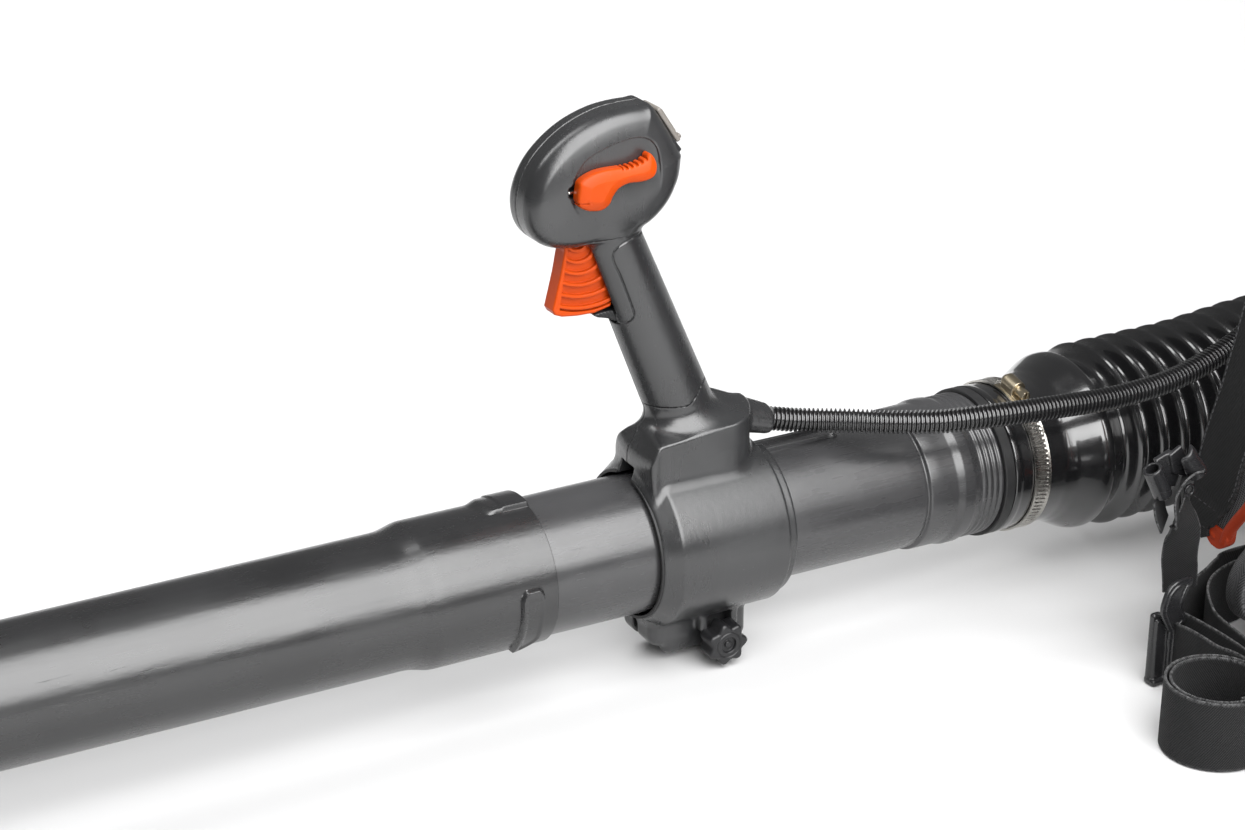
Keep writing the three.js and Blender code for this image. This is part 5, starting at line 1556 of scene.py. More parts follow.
def starter():
    low, high, f = around("starter_housing", 4, 1.4)
    reach, angle = about_fan(f)
    cup = meet(reach - 67.5, f.span(0), 9)
    cup = np.where(f.x < low[0] + 12, meet(reach - 67.5, f.span(0)), cup)
    cup = join(cup, meet(meet(reach - 70, 60 - reach), f.slab(0, low[0], low[0] + 5), 1), 1.5)
    cup = cut(cup, meet(reach - 63.5, f.x - high[0] + 5, 6))
    louvre = spokes(angle + reach * 0.012, reach, 16, 3)
    slots = meet(meet(louvre, meet(reach - 57, 27 - reach), 2), high[0] - 10 - f.x)
    cup = cut(cup, slots, 0.8)
    side = meet(spokes(angle, reach, 28, 2.4), meet(reach - 80, 55 - reach))
    vents = meet(side, f.slab(0, low[0] + 14, high[0] - 18), 1)
    cup = cut(cup, vents, 0.6)
    cap = meet(reach - 20, f.slab(0, high[0] - 6, high[0]), 2)
    cup = join(cup, cap, 1)
    cup = cut(cup, meet(meet(reach - 15, 12.5 - reach), high[0] - 1.2 - f.x), 0.4)
    rope_x, rope_z = high[0] - 14, FAN_Z + 40
    rope_hole = f.cone((rope_x, FAN_Y - 80, rope_z), (rope_x, FAN_Y - 20, rope_z), 4)
    guide = f.cone((rope_x, FAN_Y - 60, rope_z), (rope_x, FAN_Y - 48, rope_z), 8)
    cup = cut(join(cup, meet(guide, f.span(0)), 2), rope_hole, 1)
    piece(f, cup, "starter_cover", PACK_GREY, "shell_grey", "starter_housing")
    ears = [(low[0] + 5, FAN_Y + 66 * math.cos(a), FAN_Z + 66 * math.sin(a)) for a in (0.6, 2.2, 3.9, 5.5)]
    bolt_heads("starter_screws", ears, 1, 2.6, 3)

    low, high = millimetres("starter_rope")
    rope_x, rope_z = (low[0] + high[0]) / 2, (low[2] + high[2]) / 2
    line = [(rope_x, y, rope_z) for y in np.arange(low[1] + 0.2, high[1], 0.8)]
    dress(rope("starter_rope_line", np.array(line), 1.9), ROPE, "starter", "webbing", "starter_rope")
    low, high, f = around("starter_handle", 3, 0.7)
    middle = (low + high) / 2
    bar = f.cone((low[0] + 6.5, middle[1] - 1, middle[2]), (high[0] - 6.5, middle[1] - 1, middle[2]), 6.5)
    bar = meet(bar, f.span(1), 2)
    stem = f.cone((middle[0] + 4, middle[1], middle[2]), (middle[0] + 4, high[1] - 4, middle[2]), 6, 4)
    grip = join(bar, stem, 3)
    ridges = meet(np.abs(((f.x - low[0]) % 3.2) - 1.6) - 0.5, -(grip + 0.7))
    grip = cut(grip, meet(ridges, f.y - middle[1]), 0.3)
    grip = meet(grip, f.span(1))
    piece(f, grip, "starter_grip", PACK_BLACK, "black_plastic", "starter_handle", body="starter")


def rope(name, line, radius):
    """A braided rope along a line, with its strands standing proud and the weave stored on it."""
    sides = 20
    across, up = frame_along(line)
    travelled = distances(line)
    angle = np.linspace(0, 2 * math.pi, sides, endpoint=False)[None, :]
    braid = np.cos(4 * angle + travelled[:, None] * 1.3) * np.cos(4 * angle - travelled[:, None] * 1.3)
    reach = (radius + 0.14 * braid)[:, :, None]
    outwards = np.cos(angle)[..., None] * across[:, None, :] + np.sin(angle)[..., None] * up[:, None, :]
    points = line[:, None, :] + reach * outwards
    faces = grid_faces(len(line), sides, wrap_columns=True).tolist()
    faces += [list(reversed(range(sides))), [(len(line) - 1) * sides + i for i in range(sides)]]
    obj = new_object(name, points.reshape(-1, 3) * MM, faces)
    store_weave(obj, np.repeat(travelled, sides), np.tile(angle[0] * radius, len(line)), np.zeros(len(line) * sides))
    return face_outwards(obj)


def store_weave(obj, along, across, rim):
    """Keeps where each point lies on its cloth: along and across in metres, and 1 at the rim."""
    layer = obj.data.attributes.new("weave", "FLOAT_VECTOR", "POINT")
    values = np.stack([np.asarray(along) * MM, np.asarray(across) * MM, np.asarray(rim)], axis=1)
    layer.data.foreach_set("vector", values.astype(np.float32).ravel())


def face_outwards(obj):
    edit = bmesh.new()
    edit.from_mesh(obj.data)
    bmesh.ops.recalc_face_normals(edit, faces=edit.faces)
    edit.to_mesh(obj.data)
    edit.free()
    return obj


def exhaust():
    low, high, f = around("muffler", 4, 1.2)
    can = f.box(low, high, 10)
    middle = (low[2] + high[2]) / 2
    seam = meet(can - 1.8, np.abs(f.z - middle) - 1.0, 0.5)
    can = join(can, seam, 1)
    for x in (low[0] + 18, low[0] + 29, low[0] + 40):
        can = cut(can, meet(meet(np.abs(f.x - x) - 1.6, f.slab(2, low[2] + 14, high[2] - 14)), -(can + 1.2)), 1)
    can = meet(can, f.span(1))
    pipe_x, pipe_y = low[0] + 14, low[1] + 8
    pipe = f.cone((pipe_x, pipe_y, low[2] + 16), (pipe_x, pipe_y, low[2] - 0.5), 7)
    spout = meet(pipe, -f.cone((pipe_x, pipe_y, low[2] + 10), (pipe_x, pipe_y, low[2] - 9), 5.6))
    can = join(can, meet(spout, f.span(2)), 1)
    piece(f, can, "muffler_can", EXHAUST, "cast_metal", "muffler")

    low, high, f = around("muffler_guard", 3, 1.3)
    shell = f.box(low, (high[0], high[1] + 14, high[2]), 13)
    shell = cut(shell, f.box(low + 2.8, (high[0] - 2.8, high[1] + 40, high[2] - 2.8), 11))
    shell = cut(shell, f.box((60, -60, 280), (160, -30, 380)))
    for z in range(299, 362, 10):
        slot = meet(meet(np.abs(f.z - z) - 2.5, f.slab(0, low[0] + 12, high[0] - 12), 2), f.y - low[1] - 12)
        shell = cut(shell, slot, 0.8)
    for x in range(88, 132, 11):
        slot = meet(meet(np.abs(f.x - x) - 2.6, f.slab(1, low[1] + 14, high[1] - 20), 2), high[2] - 12 - f.z)
        shell = cut(shell, slot, 0.8)
    shell = meet(shell, f.span(1))
    piece(f, shell, "muffler_shield", PACK_BLACK, "black_plastic", "muffler_guard")


def intake():
    low, high, f = around("carburetor", 3, 0.9)
    body = f.box(low + [2, 4, 4], high - [2, 4, 4], 3)
    body = join(body, f.box((low[0], low[1], low[2]), (high[0], low[1] + 6, high[2]), 2), 1)
    body = join(body, f.box((low[0], high[1] - 6, low[2]), (high[0], high[1], high[2]), 2), 1)
    body = join(body, f.box((low[0] + 5, low[1] + 10, low[2]), (high[0] - 5, high[1] - 10, low[2] + 7), 2), 1)
    centre = middle_across(low, high, 1)
    body = cut(body, f.disc(1, centre, 8), 0.6)
    piece(f, body, "carburettor_body", CAST, "cast_metal", "carburetor")
    screws = [(low[0] + 6, 52 + 10 * i, high[2] - 4) for i in range(3)]
    bolt_heads("carburettor_screws", screws, 3, 2, 2.4)

    low, high, f = around("air_filter", 2, 1.0)
    wave = np.where(f.y > high[1] - 3, 0.5 + 0.5 * np.sin(f.x * 2 * math.pi / 4), 0) * 1.6
    element = f.box(low, high, 5) + wave
    element = cut(element, f.disc(1, ((low[0] + high[0]) / 2 - 1, 324), 8))
    piece(f, element, "filter_element", FOAM, "mesh_fabric", "air_filter")

    low, high, f = around("filter_cover", 3, 1.1)
    shell = f.box((low[0], low[1] - 14, low[2]), high, 9)
    shell = join(shell, meet(shell - 1.3, f.slab(1, low[1], low[1] + 5), 0.8), 1)
    for z in range(304, 356, 9):
        rib = meet(meet(np.abs(f.z - z) - 1.1, f.slab(0, low[0] + 40, high[0] - 8)), np.abs(f.y - high[1]) - 1.2)
        shell = join(shell, rib, 0.8)
    shell = cut(shell, f.box((low[0] + 2.6, low[1] - 30, low[2] + 2.6), high - 2.6, 7))
    shell = cut(meet(shell, f.slab(1, low[1], high[1] + 1.2)), f.disc(1, (98, 340), 3.3))
    for z in range(306, 352, 8):
        inlet_slot = meet(meet(np.abs(f.z - z) - 1.8, f.slab(1, low[1] + 8, high[1] - 10), 1), high[0] - 6 - f.x)
        shell = cut(shell, inlet_slot, 0.5)
    piece(f, shell, "filter_lid", PACK_GREY, "shell_grey", "filter_cover")

    low, high, f = around("filter_knob", 2, 0.6)
    centre = middle_across(low, high, 1)
    reach = f.disc(1, centre, 0)
    turn = np.arctan2(f.z - centre[1], f.x - centre[0])
    head = meet(reach - 9.8 - 0.9 * np.cos(6 * turn), f.slab(1, 128.35, high[1]), 1.4)
    head = cut(head, f.ball((centre[0], high[1] + 9, centre[1]), 12), 0.5)
    solid = join(head, meet(reach - 3, f.slab(1, low[1], high[1] - 3)), 0.4)
    piece(f, solid, "filter_lid_knob", COVER_ORANGE, "orange", "filter_knob", body="filter_knob")

    low, high, f = around("choke_lever", 2, 0.5)
    pivot = (88, 304)
    eye = meet(f.disc(0, pivot, 6), f.span(0), 0.8)
    arm = f.cone((145, 88, 306), (145, 88, 334), 2.6, 3.0)
    paddle = f.box((low[0] + 0.8, 85, 326), (high[0], 91, 340), 2)
    eye = cut(eye, meet(f.disc(0, pivot, 2.2), high[0] - 1 - f.x), 0.3)
    solid = meet(join(join(eye, arm, 2), paddle, 2), f.span(0))
    piece(f, solid, "choke_arm", COVER_ORANGE, "orange", "choke_lever", body="choke")

    low, high, f = around("primer_bulb", 2, 0.5)
    centre = middle_across(low, high, 2)
    reach = f.disc(2, centre, 0)
    dome = f.ball((*centre, high[2] - 7), 8.2)
    dome = meet(dome, f.span(2), 0.5)
    collar = meet(reach - 8.9, f.slab(2, high[2] - 4, high[2] - 0.2), 0.8)
    dome = join(dome, collar, 0.6)
    piece(f, dome, "primer_dome", TANK, "tank_white", "primer_bulb", body="primer")


def fuel_tank():
    low, high, f = around("fuel_tank", 4, 1.7)
    top = 112
    body = f.box(low, (high[0], high[1], top), 14)
    middle = (low[2] + top) / 2
    body = join(body, meet(body - 1.8, np.abs(f.z - middle) - 1.4, 0.6), 1)
    for y in (-75, 0, 75):
        dent = meet(meet(np.abs(f.y - y) - 26, f.slab(2, low[2] + 18, top - 18), 8), high[0] - 3 - f.x)
        body = cut(body, dent, 2)
    for y in (-36, 36):
        body = cut(body, meet(meet(np.abs(f.y - y) - 4, top - 3.5 - f.z), f.slab(0, low[0] - 1, high[0] + 1)), 2)
    filler = (150, -118)
    neck = meet(f.disc(2, filler, 19.6), f.slab(2, top - 20, high[2]), 1)
    shelf = meet(f.disc(2, filler, 30), f.slab(2, top - 20, top + 2.5), 2)
    body = join(join(body, shelf, 3), neck, 1)
    body = cut(body, meet(f.disc(2, filler, 15), top - 30 - f.z, 1))
    piece(f, body, "tank_body", TANK, "tank_white", "fuel_tank")

    low, high, f = around("fuel_cap", 3, 0.8)
    centre = middle_across(low, high, 2)
    reach = f.disc(2, centre, 0)
    turn = np.arctan2(f.y - centre[1], f.x - centre[0])
    cap = meet(reach - 25 - 0.8 * np.cos(20 * turn), f.slab(2, low[2] + 0.4, high[2] - 5), 1.5)
    bar = meet(meet(f.slab(0, centre[0] - 5, centre[0] + 5), reach - 23, 2), f.slab(2, high[2] - 9, high[2]), 2)
    cap = join(cap, bar, 2)
    cap = cut(cap, meet(reach - 20.4, f.z - high[2] + 8))
    piece(f, cap, "tank_cap", COVER_ORANGE, "orange", "fuel_cap", body="fuel_cap")


def engine_cover():
    low, high, f = around("engine_cover", 4, 1.4)
    shell = f.box((low[0], low[1], low[2] - 40), high, 20)
    shell = join(shell, meet(shell - 1.5, f.slab(2, low[2], low[2] + 5), 0.8), 1)
    panel = meet(meet(np.abs(f.y) - 26, f.slab(0, low[0] + 22, high[0] - 22), 8), high[2] - 2.5 - f.z)
    shell = cut(shell, meet(panel, -(meet(np.abs(f.y) - 23, f.slab(0, low[0] + 25, high[0] - 25), 6))), 0.8)
    hollow = f.box((low[0] - 6, low[1] + 3, low[2] - 60), (high[0] - 5, high[1] - 3, high[2] - 4.5), 16)
    shell = cut(shell, hollow)
    notch = f.box((60, -60, 280), (150, 60, 402))
    shell = cut(shell, notch, 1)
    for z in range(346, 396, 10):
        louvre = meet(meet(np.abs(f.z - z - 0.25 * (f.x - high[0])) - 2.4, f.slab(1, -26, 26), 2), high[0] - 12 - f.x)
        shell = cut(shell, louvre, 0.8)
    for x in range(100, 150, 12):
        side = meet(meet(np.abs(f.x - x) - 2.4, f.slab(2, 404, 412), 1.5), 30 - np.abs(f.y))
        shell = cut(shell, side, 0.5)
    shell = meet(shell, f.span(2))
    piece(f, shell, "engine_hood", COVER_ORANGE, "orange", "engine_cover")
    bolt_heads("engine_hood_screws", [(90, y, high[2] - 0.4) for y in (-20, 20)], 3, 3, 2)


def pack():
    pack_frame()
    isolators()
    base_tray()
    fan_housing()
    outlet()
    elbow()
    impeller()
    inlet_grille()
    engine()
    starter()
    exhaust()
    intake()
    fuel_tank()
    engine_cover()


# ---------------------------------------------------------------- harness: cloth
def strip(name, centres, across, width, inner, outer=None, columns=28):
    """A band along a row of centres in millimetres, its weave stored on it.

    inner(u, s) and outer(u, s) give its half thicknesses, at u from -1 to 1 across and s along.
    """
    centres = np.asarray(centres, float)
    tangent = directions(centres)
    across = np.broadcast_to(np.asarray(across, float), centres.shape)
    across = unit(across - (across * tangent).sum(axis=1)[:, None] * tangent)
    normal = np.cross(tangent, across)
    travelled = distances(centres)
    flat = np.concatenate([[-0.985], np.linspace(-0.96, 0.96, columns), [0.985]])
    edge = 0.72
    u = np.concatenate([flat, [1.0], flat[::-1], [-1.0]])
    level = np.concatenate([[edge], np.ones(columns), [edge], [0], [-edge], -np.ones(columns), [-edge], [0]])
    outer = outer or inner
    width = np.broadcast_to(np.asarray(width, float), (len(centres),))
    U, S = np.meshgrid(u, travelled)
    thick = np.where(level[None, :] > 0, inner(U, S), outer(U, S)) * level[None, :]
    points = (centres[:, None, :] + (U * width[:, None] / 2)[..., None] * across[:, None, :]
              + thick[..., None] * normal[:, None, :])
    count = len(u)
    faces = grid_faces(len(centres), count, wrap_columns=True).tolist()
    faces += [list(range(count)), [(len(centres) - 1) * count + i for i in range(count)]]
    obj = new_object(name, points.reshape(-1, 3) * MM, faces, math.radians(60))
    store_weave(obj, S.ravel(), (U * width[:, None] / 2).ravel(), np.abs(U).ravel())
    return face_outwards(obj)


def even(thickness):
    return lambda u, s: np.full_like(u, thickness / 2)


def stitches(name, line, normal, length=3.2, gap=1.6, radius=0.32, body="pack"):
    """A row of sewn stitches along a line in millimetres, each a short bead that dips at its ends."""
    line = np.asarray(line, float)
    travelled = distances(line)
    normal = np.broadcast_to(np.asarray(normal, float), line.shape)
    sides, steps = 6, 5
    ring = np.linspace(0, 2 * math.pi, sides, endpoint=False)
    vertices, faces = [], []
    start = gap
    while start + length < travelled[-1]:
        at = np.linspace(start, start + length, steps)
        centre = np.stack([np.interp(at, travelled, line[:, i]) for i in range(3)], 1)
        up = unit(np.stack([np.interp(at, travelled, normal[:, i]) for i in range(3)], 1))
        share = np.linspace(-1, 1, steps)
        centre = centre + up * (radius * 0.9 - 0.8 * radius * share ** 2)[:, None]
        side = np.cross(directions(centre), up)
        reach = radius * np.sqrt(1.02 - 0.55 * share ** 4)
        points = centre[:, None, :] + reach[:, None, None] * (
            np.cos(ring)[None, :, None] * side[:, None, :] + np.sin(ring)[None, :, None] * up[:, None, :])
        base = len(vertices) * steps * sides
        vertices.append(points.reshape(-1, 3))
        block = grid_faces(steps, sides, wrap_columns=True) + base
        faces += block.tolist()
        faces += [[base + i for i in range(sides)], [base + (steps - 1) * sides + i for i in range(sides)]]
        start += length + gap
    obj = new_object(name, np.concatenate(vertices) * MM, faces, math.radians(80))
    count = len(obj.data.vertices)
    store_weave(obj, np.arange(count) * 0.3, np.zeros(count), np.zeros(count))
    return dress(face_outwards(obj), THREAD, body, "webbing")


def inflated(name, node, shrink, cap, pressure=4.0):
    """A soft piece blown up inside its CAD solid's shape by cloth simulation, and then held there."""
    obj = bpy.data.objects.new(name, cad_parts[node].data.copy())
    obj.data.materials.clear()
    bpy.context.scene.collection.objects.link(obj)
    remesh = obj.modifiers.new("remesh", "REMESH")
    remesh.mode = "VOXEL"
    remesh.voxel_size = 5 * MM
    apply_modifiers(obj)
    mesh = obj.data
    count = len(mesh.vertices)
    points = np.zeros(count * 3, np.float32)
    normals = np.zeros(count * 3, np.float32)
    mesh.vertices.foreach_get("co", points)
    mesh.vertex_normals.foreach_get("vector", normals)
    start = (points - shrink * MM * normals).reshape(-1, 3)
    mesh.vertices.foreach_set("co", start.ravel())
    mesh.update()
    cloth = obj.modifiers.new("cloth", "CLOTH")
    settings = cloth.settings
    settings.quality = 6
    settings.mass = 0.3
    settings.use_pressure = True
    settings.uniform_pressure_force = pressure
    settings.effector_weights.gravity = 0
    settings.tension_stiffness = 30
    settings.compression_stiffness = 30
    settings.bending_stiffness = 2
    cloth.point_cache.frame_start = 1
    cloth.point_cache.frame_end = 20
    scene = bpy.context.scene
    for step in range(1, 21):
        scene.frame_set(step)
    evaluated = obj.evaluated_get(bpy.context.evaluated_depsgraph_get())
    blown = np.zeros(count * 3, np.float32)
    evaluated.data.vertices.foreach_get("co", blown)
    obj.modifiers.clear()
    scene.frame_set(1)
    move = blown.reshape(-1, 3) - start
    length = np.linalg.norm(move, axis=1)[:, None]
    move = move * np.minimum(1, cap * MM / np.maximum(length, 1e-9))
    mesh.vertices.foreach_set("co", (start + move).ravel())
    mesh.update()
    finer = obj.modifiers.new("finer", "SUBSURF")
    finer.levels = 1
    apply_modifiers(obj)
    obj.data.shade_smooth()
    return obj


def mesh_points(obj):
    points = np.zeros(len(obj.data.vertices) * 3, np.float32)
    obj.data.vertices.foreach_get("co", points)
    return points.reshape(-1, 3) / MM


def set_points(obj, points):
    obj.data.vertices.foreach_set("co", (points * MM).astype(np.float32).ravel())
    obj.data.update()


def quilt(distance, width, depth):
    """How deep a sewn channel pulls the cloth in, by the distance from its seam."""
    return depth * np.exp(-(distance / width) ** 2)


# ---------------------------------------------------------------- harness: pads
def back_pad():
    """The pad behind the wearer: spacer mesh with three channels, taped round its edge."""
    low, high = millimetres("back_pad")
    pad = inflated("back_pad_cushion", "back_pad", 3.5, 7)
    points = mesh_points(pad)
    y, z = points[:, 1], points[:, 2]
    middle_z = (low[2] + high[2]) / 2
    facing = ease(-points[:, 0], -low[0] - 16, -low[0] - 4)
    seams = np.minimum(np.abs(y - 32), np.abs(y + 32))
    cross = np.minimum(np.abs(z - middle_z - 60), np.abs(z - middle_z + 60))
    cross = np.where(np.abs(y) > 32, cross, 99)
    dip = quilt(np.minimum(seams, cross), 7, 6.5) * facing
    bulge = 3.0 * np.clip(1 - (np.abs(y) / 105) ** 4, 0, 1)
    bulge = bulge * np.clip(1 - (np.abs(z - middle_z) / 148) ** 4, 0, 1)
    points[:, 0] += dip - bulge * facing
    points[:, 0] = np.clip(points[:, 0], low[0] - 4, high[0] - 0.2)
    set_points(pad, points)
    rim = np.maximum(np.abs(y) / 110, np.abs(z - middle_z) / 150)
    store_weave(pad, z, y, rim)
    dress(pad, AIR_MESH, "pack", "mesh_fabric", "back_pad")
    piping_round("back_pad_piping", low, high)
    for side in (-1, 1):
        line = [(low[0] + 3.2, side * 32, z) for z in np.arange(low[2] + 16, high[2] - 16, 3.0)]
        seam = strip(f"back_pad_seam_{'right' if side > 0 else 'left'}", line, (0, 1, 0), 6, even(0.9), columns=6)
        dress(seam, TAPE, "pack", "webbing")


def piping_round(name, low, high):
    """Herringbone tape bound round a pad's edge."""
    radius = 34
    half_y, middle_z, half_z = high[1] - 2.5, (low[2] + high[2]) / 2, (high[2] - low[2]) / 2 - 2.5
    line = []
    for corner, (sy, sz) in enumerate(((1, 1), (-1, 1), (-1, -1), (1, -1))):
        for step in range(13):
            angle = math.pi / 2 * (corner + step / 12)
            line.append((high[0] - 11, sy * (half_y - radius) + radius * math.cos(angle),
                         middle_z + sz * (half_z - radius) + radius * math.sin(angle)))
    line.append(line[0])
    path, _ = smooth_route(line, 3)
    path = path[:-1]
    count, sides = len(path), 14
    tangent = unit(np.roll(path, -1, axis=0) - np.roll(path, 1, axis=0))
    out = np.cross(tangent, (1.0, 0, 0))
    angle = np.linspace(0, 2 * math.pi, sides, endpoint=False)
    points = (path[:, None, :] + (3.2 * np.cos(angle))[None, :, None] * out[:, None, :]
              + (8.0 * np.sin(angle))[None, :, None] * np.array([1.0, 0, 0]))
    faces = grid_faces(count, sides, wrap_rows=True, wrap_columns=True)
    obj = new_object(name, points.reshape(-1, 3) * MM, faces)
    store_weave(obj, np.repeat(np.arange(count) * 3.0, sides), np.tile(angle * 6, count), np.zeros(count * sides))
    dress(face_outwards(obj), TAPE, "pack", "webbing")


SIDES = ((1, "right"), (-1, "left"))


def strap_route(side):
    return [(-113, side * 62, 436), (-150, side * 60, 447), (-185, side * 58, 425), (-208, side * 58, 370),
            (-220, side * 62, 300), (-227, side * 70, 232), (-230, side * 80, 175), (-232, side * 93, 118),
            (-228.7, side * 100.7, 61)]


def shoulder_straps():
    """Padded straps: mesh underneath, black twill webbing on top and an orange binding."""
    for side, hand in SIDES:
        route, travelled = smooth_route(strap_route(side), 2.5)
        total = travelled[-1]
        tangent = directions(route)
        inner = unit(np.cross(tangent, (0.0, 1.0, 0.0)))

        def cushion(u, s):
            crown = 3.4 + 2.4 * np.clip(1 - np.abs(u / 0.92) ** 3, 0, 1)
            sewn = quilt((np.abs(u) - 0.62) * 27, 2.2, 2.6)
            crosswise = quilt(np.abs((s + 20) % 78 - 39), 3, 2.2) * (np.abs(u) < 0.62)
            return crown - sewn - crosswise

        across = np.cross(inner, tangent)
        across *= np.sign(across[:, 1:2]) * side
        taper = 19 * ease(travelled, total - 54, total - 4)
        corner = 15 * np.clip((travelled - total + 13) / 10, 0, 1) ** 1.3
        middle = (route - across * 8)[:-2]
        beneath = inner[:-2]
        crosswise_pad = across[:-2]
        pad_line = middle + crosswise_pad * (taper - corner)[:-2, None] / 2 + beneath * 1.6
        pad = strip(f"shoulder_pad_{hand}", pad_line, (0, 1, 0), 39 - (taper + corner)[:-2], cushion, even(5.0), 36)
        dress(pad, AIR_MESH, "pack", "mesh_fabric", f"shoulder_strap_{hand}")
        web_line = (route + across * (4.2 + (taper - corner)[:, None] / 2) - inner * 3.2)[:-1]
        web_half = (40.5 - (taper + corner)[:-1]) / 2
        hem = 0.9 * ease(travelled[:-1], total - 32, total - 29)
        web = strip(f"shoulder_webbing_{hand}", web_line - inner[:-1] * hem[:, None] * 0.5, (0, 1, 0), 2 * web_half,
                    lambda u, s: 1.15 + 0.7 * ease(s, total - 32, total - 30.5), None, 40)
        dress(web, TWILL, "pack", "webbing")
        for row_place in (8, 27):
            at = int(len(web_line) - row_place / 2.5)
            reach = web_half[at] - 2.2
            row = [web_line[at] - inner[at] * 2.1 + across[at] * d for d in np.linspace(-reach, reach, 30)]
            stitches(f"shoulder_hem_{hand}_{row_place}", row, -inner[at], radius=0.24)
        for edge, where in ((-1, "inner"), (1, "outer")):
            slant = taper[:-2, None] if edge < 0 else -corner[:-2, None]
            line = middle + crosswise_pad * (edge * 18.6 + slant) + beneath * 0.9
            tape = strip(f"shoulder_binding_{hand}_{where}", line, (0, 1, 0), 8.0,
                         lambda u, s: 4.3 * np.sqrt(np.clip(1.02 - u * u, 0, 1)), None, 8)
            dress(tape, BINDING, "pack", "orange")
            row = web_line + across[:-1] * edge * (web_half[:, None] - 2.0) - inner[:-1] * 1.25
            stitches(f"shoulder_stitching_{hand}_{where}", row[:-14], -inner[:-15])
        end = middle[-1] + inner[-1] * 1.4 + across[-3] * 6.5
        lip_line = [end - tangent[-1] * 9 + tangent[-1] * d for d in np.arange(0, 15.1, 1.0)]
        round_off = 21 * np.sqrt(np.clip(1.0 - np.clip((np.arange(16.0) - 6) / 9.4, 0, 1) ** 2, 0.02, 1))
        lip = strip(f"shoulder_tab_{hand}", lip_line, (0, 1, 0), round_off, even(8.4), None, 20)
        dress(lip, BINDING, "pack", "orange")


def hip_route(side):
    return [(-101, side * 62, 58), (-150, side * 64, 56), (-205, side * 62, 52), (-245, side * 58, 49)]


def hip_pads():
    """Hip wings: spacer mesh cushions with a grey lining strip, bound with herringbone tape."""
    for side, hand in SIDES:
        node = f"hip_pad_{hand}"
        low, _ = millimetres(node)
        pad = inflated(f"hip_cushion_{hand}", node, 2.5, 5)
        points = mesh_points(pad)
        route, travelled = smooth_route(hip_route(side), 2)

        def narrowing(gone):
            return 1 - 0.35 * ease(gone, travelled[-1] * 0.55, travelled[-1])

        nearest = np.array([np.argmin(np.abs(route[:, 0] - x)) for x in points[:, 0]])
        along = travelled[nearest]
        centre = route[nearest]
        up = points[:, 2] - centre[:, 2]
        out = points[:, 1] - centre[:, 1]
        dip = quilt(np.minimum(np.abs(up - 13), np.abs(up + 13)), 4, 2.4)
        points[:, 1] = centre[:, 1] + np.sign(out) * np.maximum(np.abs(out) - dip, 1.5)
        bow_start, bow_end, bow = low[0] + 26, low[0] - 2.0, 2 / 2.3
        bowed = np.clip((bow_start - points[:, 0]) / (bow_start - bow_end), 0, 0.985)
        points[:, 2] = centre[:, 2] + up * narrowing(along) * (1 - bowed ** (2 / bow)) ** (bow / 2)
        set_points(pad, points)
        store_weave(pad, along, up, np.abs(up) / 38)
        dress(pad, AIR_MESH, "pack", "mesh_fabric", node)
        turn = np.linspace(0, math.pi / 2, 24)
        upper_x = np.concatenate([np.arange(route[0, 0], bow_start, -2.0),
                                  bow_start - (bow_start - bow_end) * np.sin(turn) ** bow])
        upper_h = np.concatenate([np.ones(len(upper_x) - 24), np.cos(turn) ** bow])
        tape_x = np.concatenate([upper_x, upper_x[-2::-1]])
        tape_h = np.concatenate([upper_h, -upper_h[-2::-1]])
        behind = route[::-1]
        tape_y = np.interp(tape_x, behind[:, 0], behind[:, 1])
        tape_z = np.interp(tape_x, behind[:, 0], behind[:, 2])
        gone = np.interp(tape_x, behind[:, 0], travelled[::-1])
        line = np.stack([tape_x, tape_y, tape_z + tape_h * 36.4 * narrowing(gone)], axis=1)
        line, _ = smooth_route(line[::3], 2)
        tape = strip(f"hip_tape_{hand}", line, (0, 1, 0), 15.5,
                     lambda u, s: 3.4 * np.sqrt(np.clip(1.03 - np.abs(u) ** 3, 0, 1)), None, 16)
        dress(tape, TAPE, "pack", "webbing")
        lining_line = route + np.array([0, -side * 6.6, 0])
        lining = strip(f"hip_lining_{hand}", lining_line[6:-8], (0, 0, 1), 40, even(1.2), None, 16)
        dress(lining, LINING, "pack", "mesh_fabric")


# ---------------------------------------------------------------- harness: belt
TOWARDS_FRONT = math.radians(-29)    # the direction in which the narrow webbing lies flat, seen from above


def facing(degrees):
    """A level direction, turned from the narrow webbing's own flat lie."""
    turn = TOWARDS_FRONT + math.radians(degrees)
    return np.array([math.cos(turn), math.sin(turn), 0.0])


def webbing(name, line, across, width, step=1.5, thick=1.7, *replaced):
    """Woven webbing along a smooth line, in millimetres."""
    path, travelled = smooth_route(line, step)
    across = np.asarray(across, float)
    if across.ndim == 2:
        share = np.linspace(0, 1, len(across))
        at = travelled / travelled[-1]
        across = np.stack([np.interp(at, share, across[:, i]) for i in range(3)], axis=1)
    if np.ndim(width):
        width = np.interp(travelled / travelled[-1], np.linspace(0, 1, len(width)), width)
    obj = strip(name, path, across, width, even(thick), None, 30)
    return dress(obj, WEBBING, "pack", "webbing", *replaced)


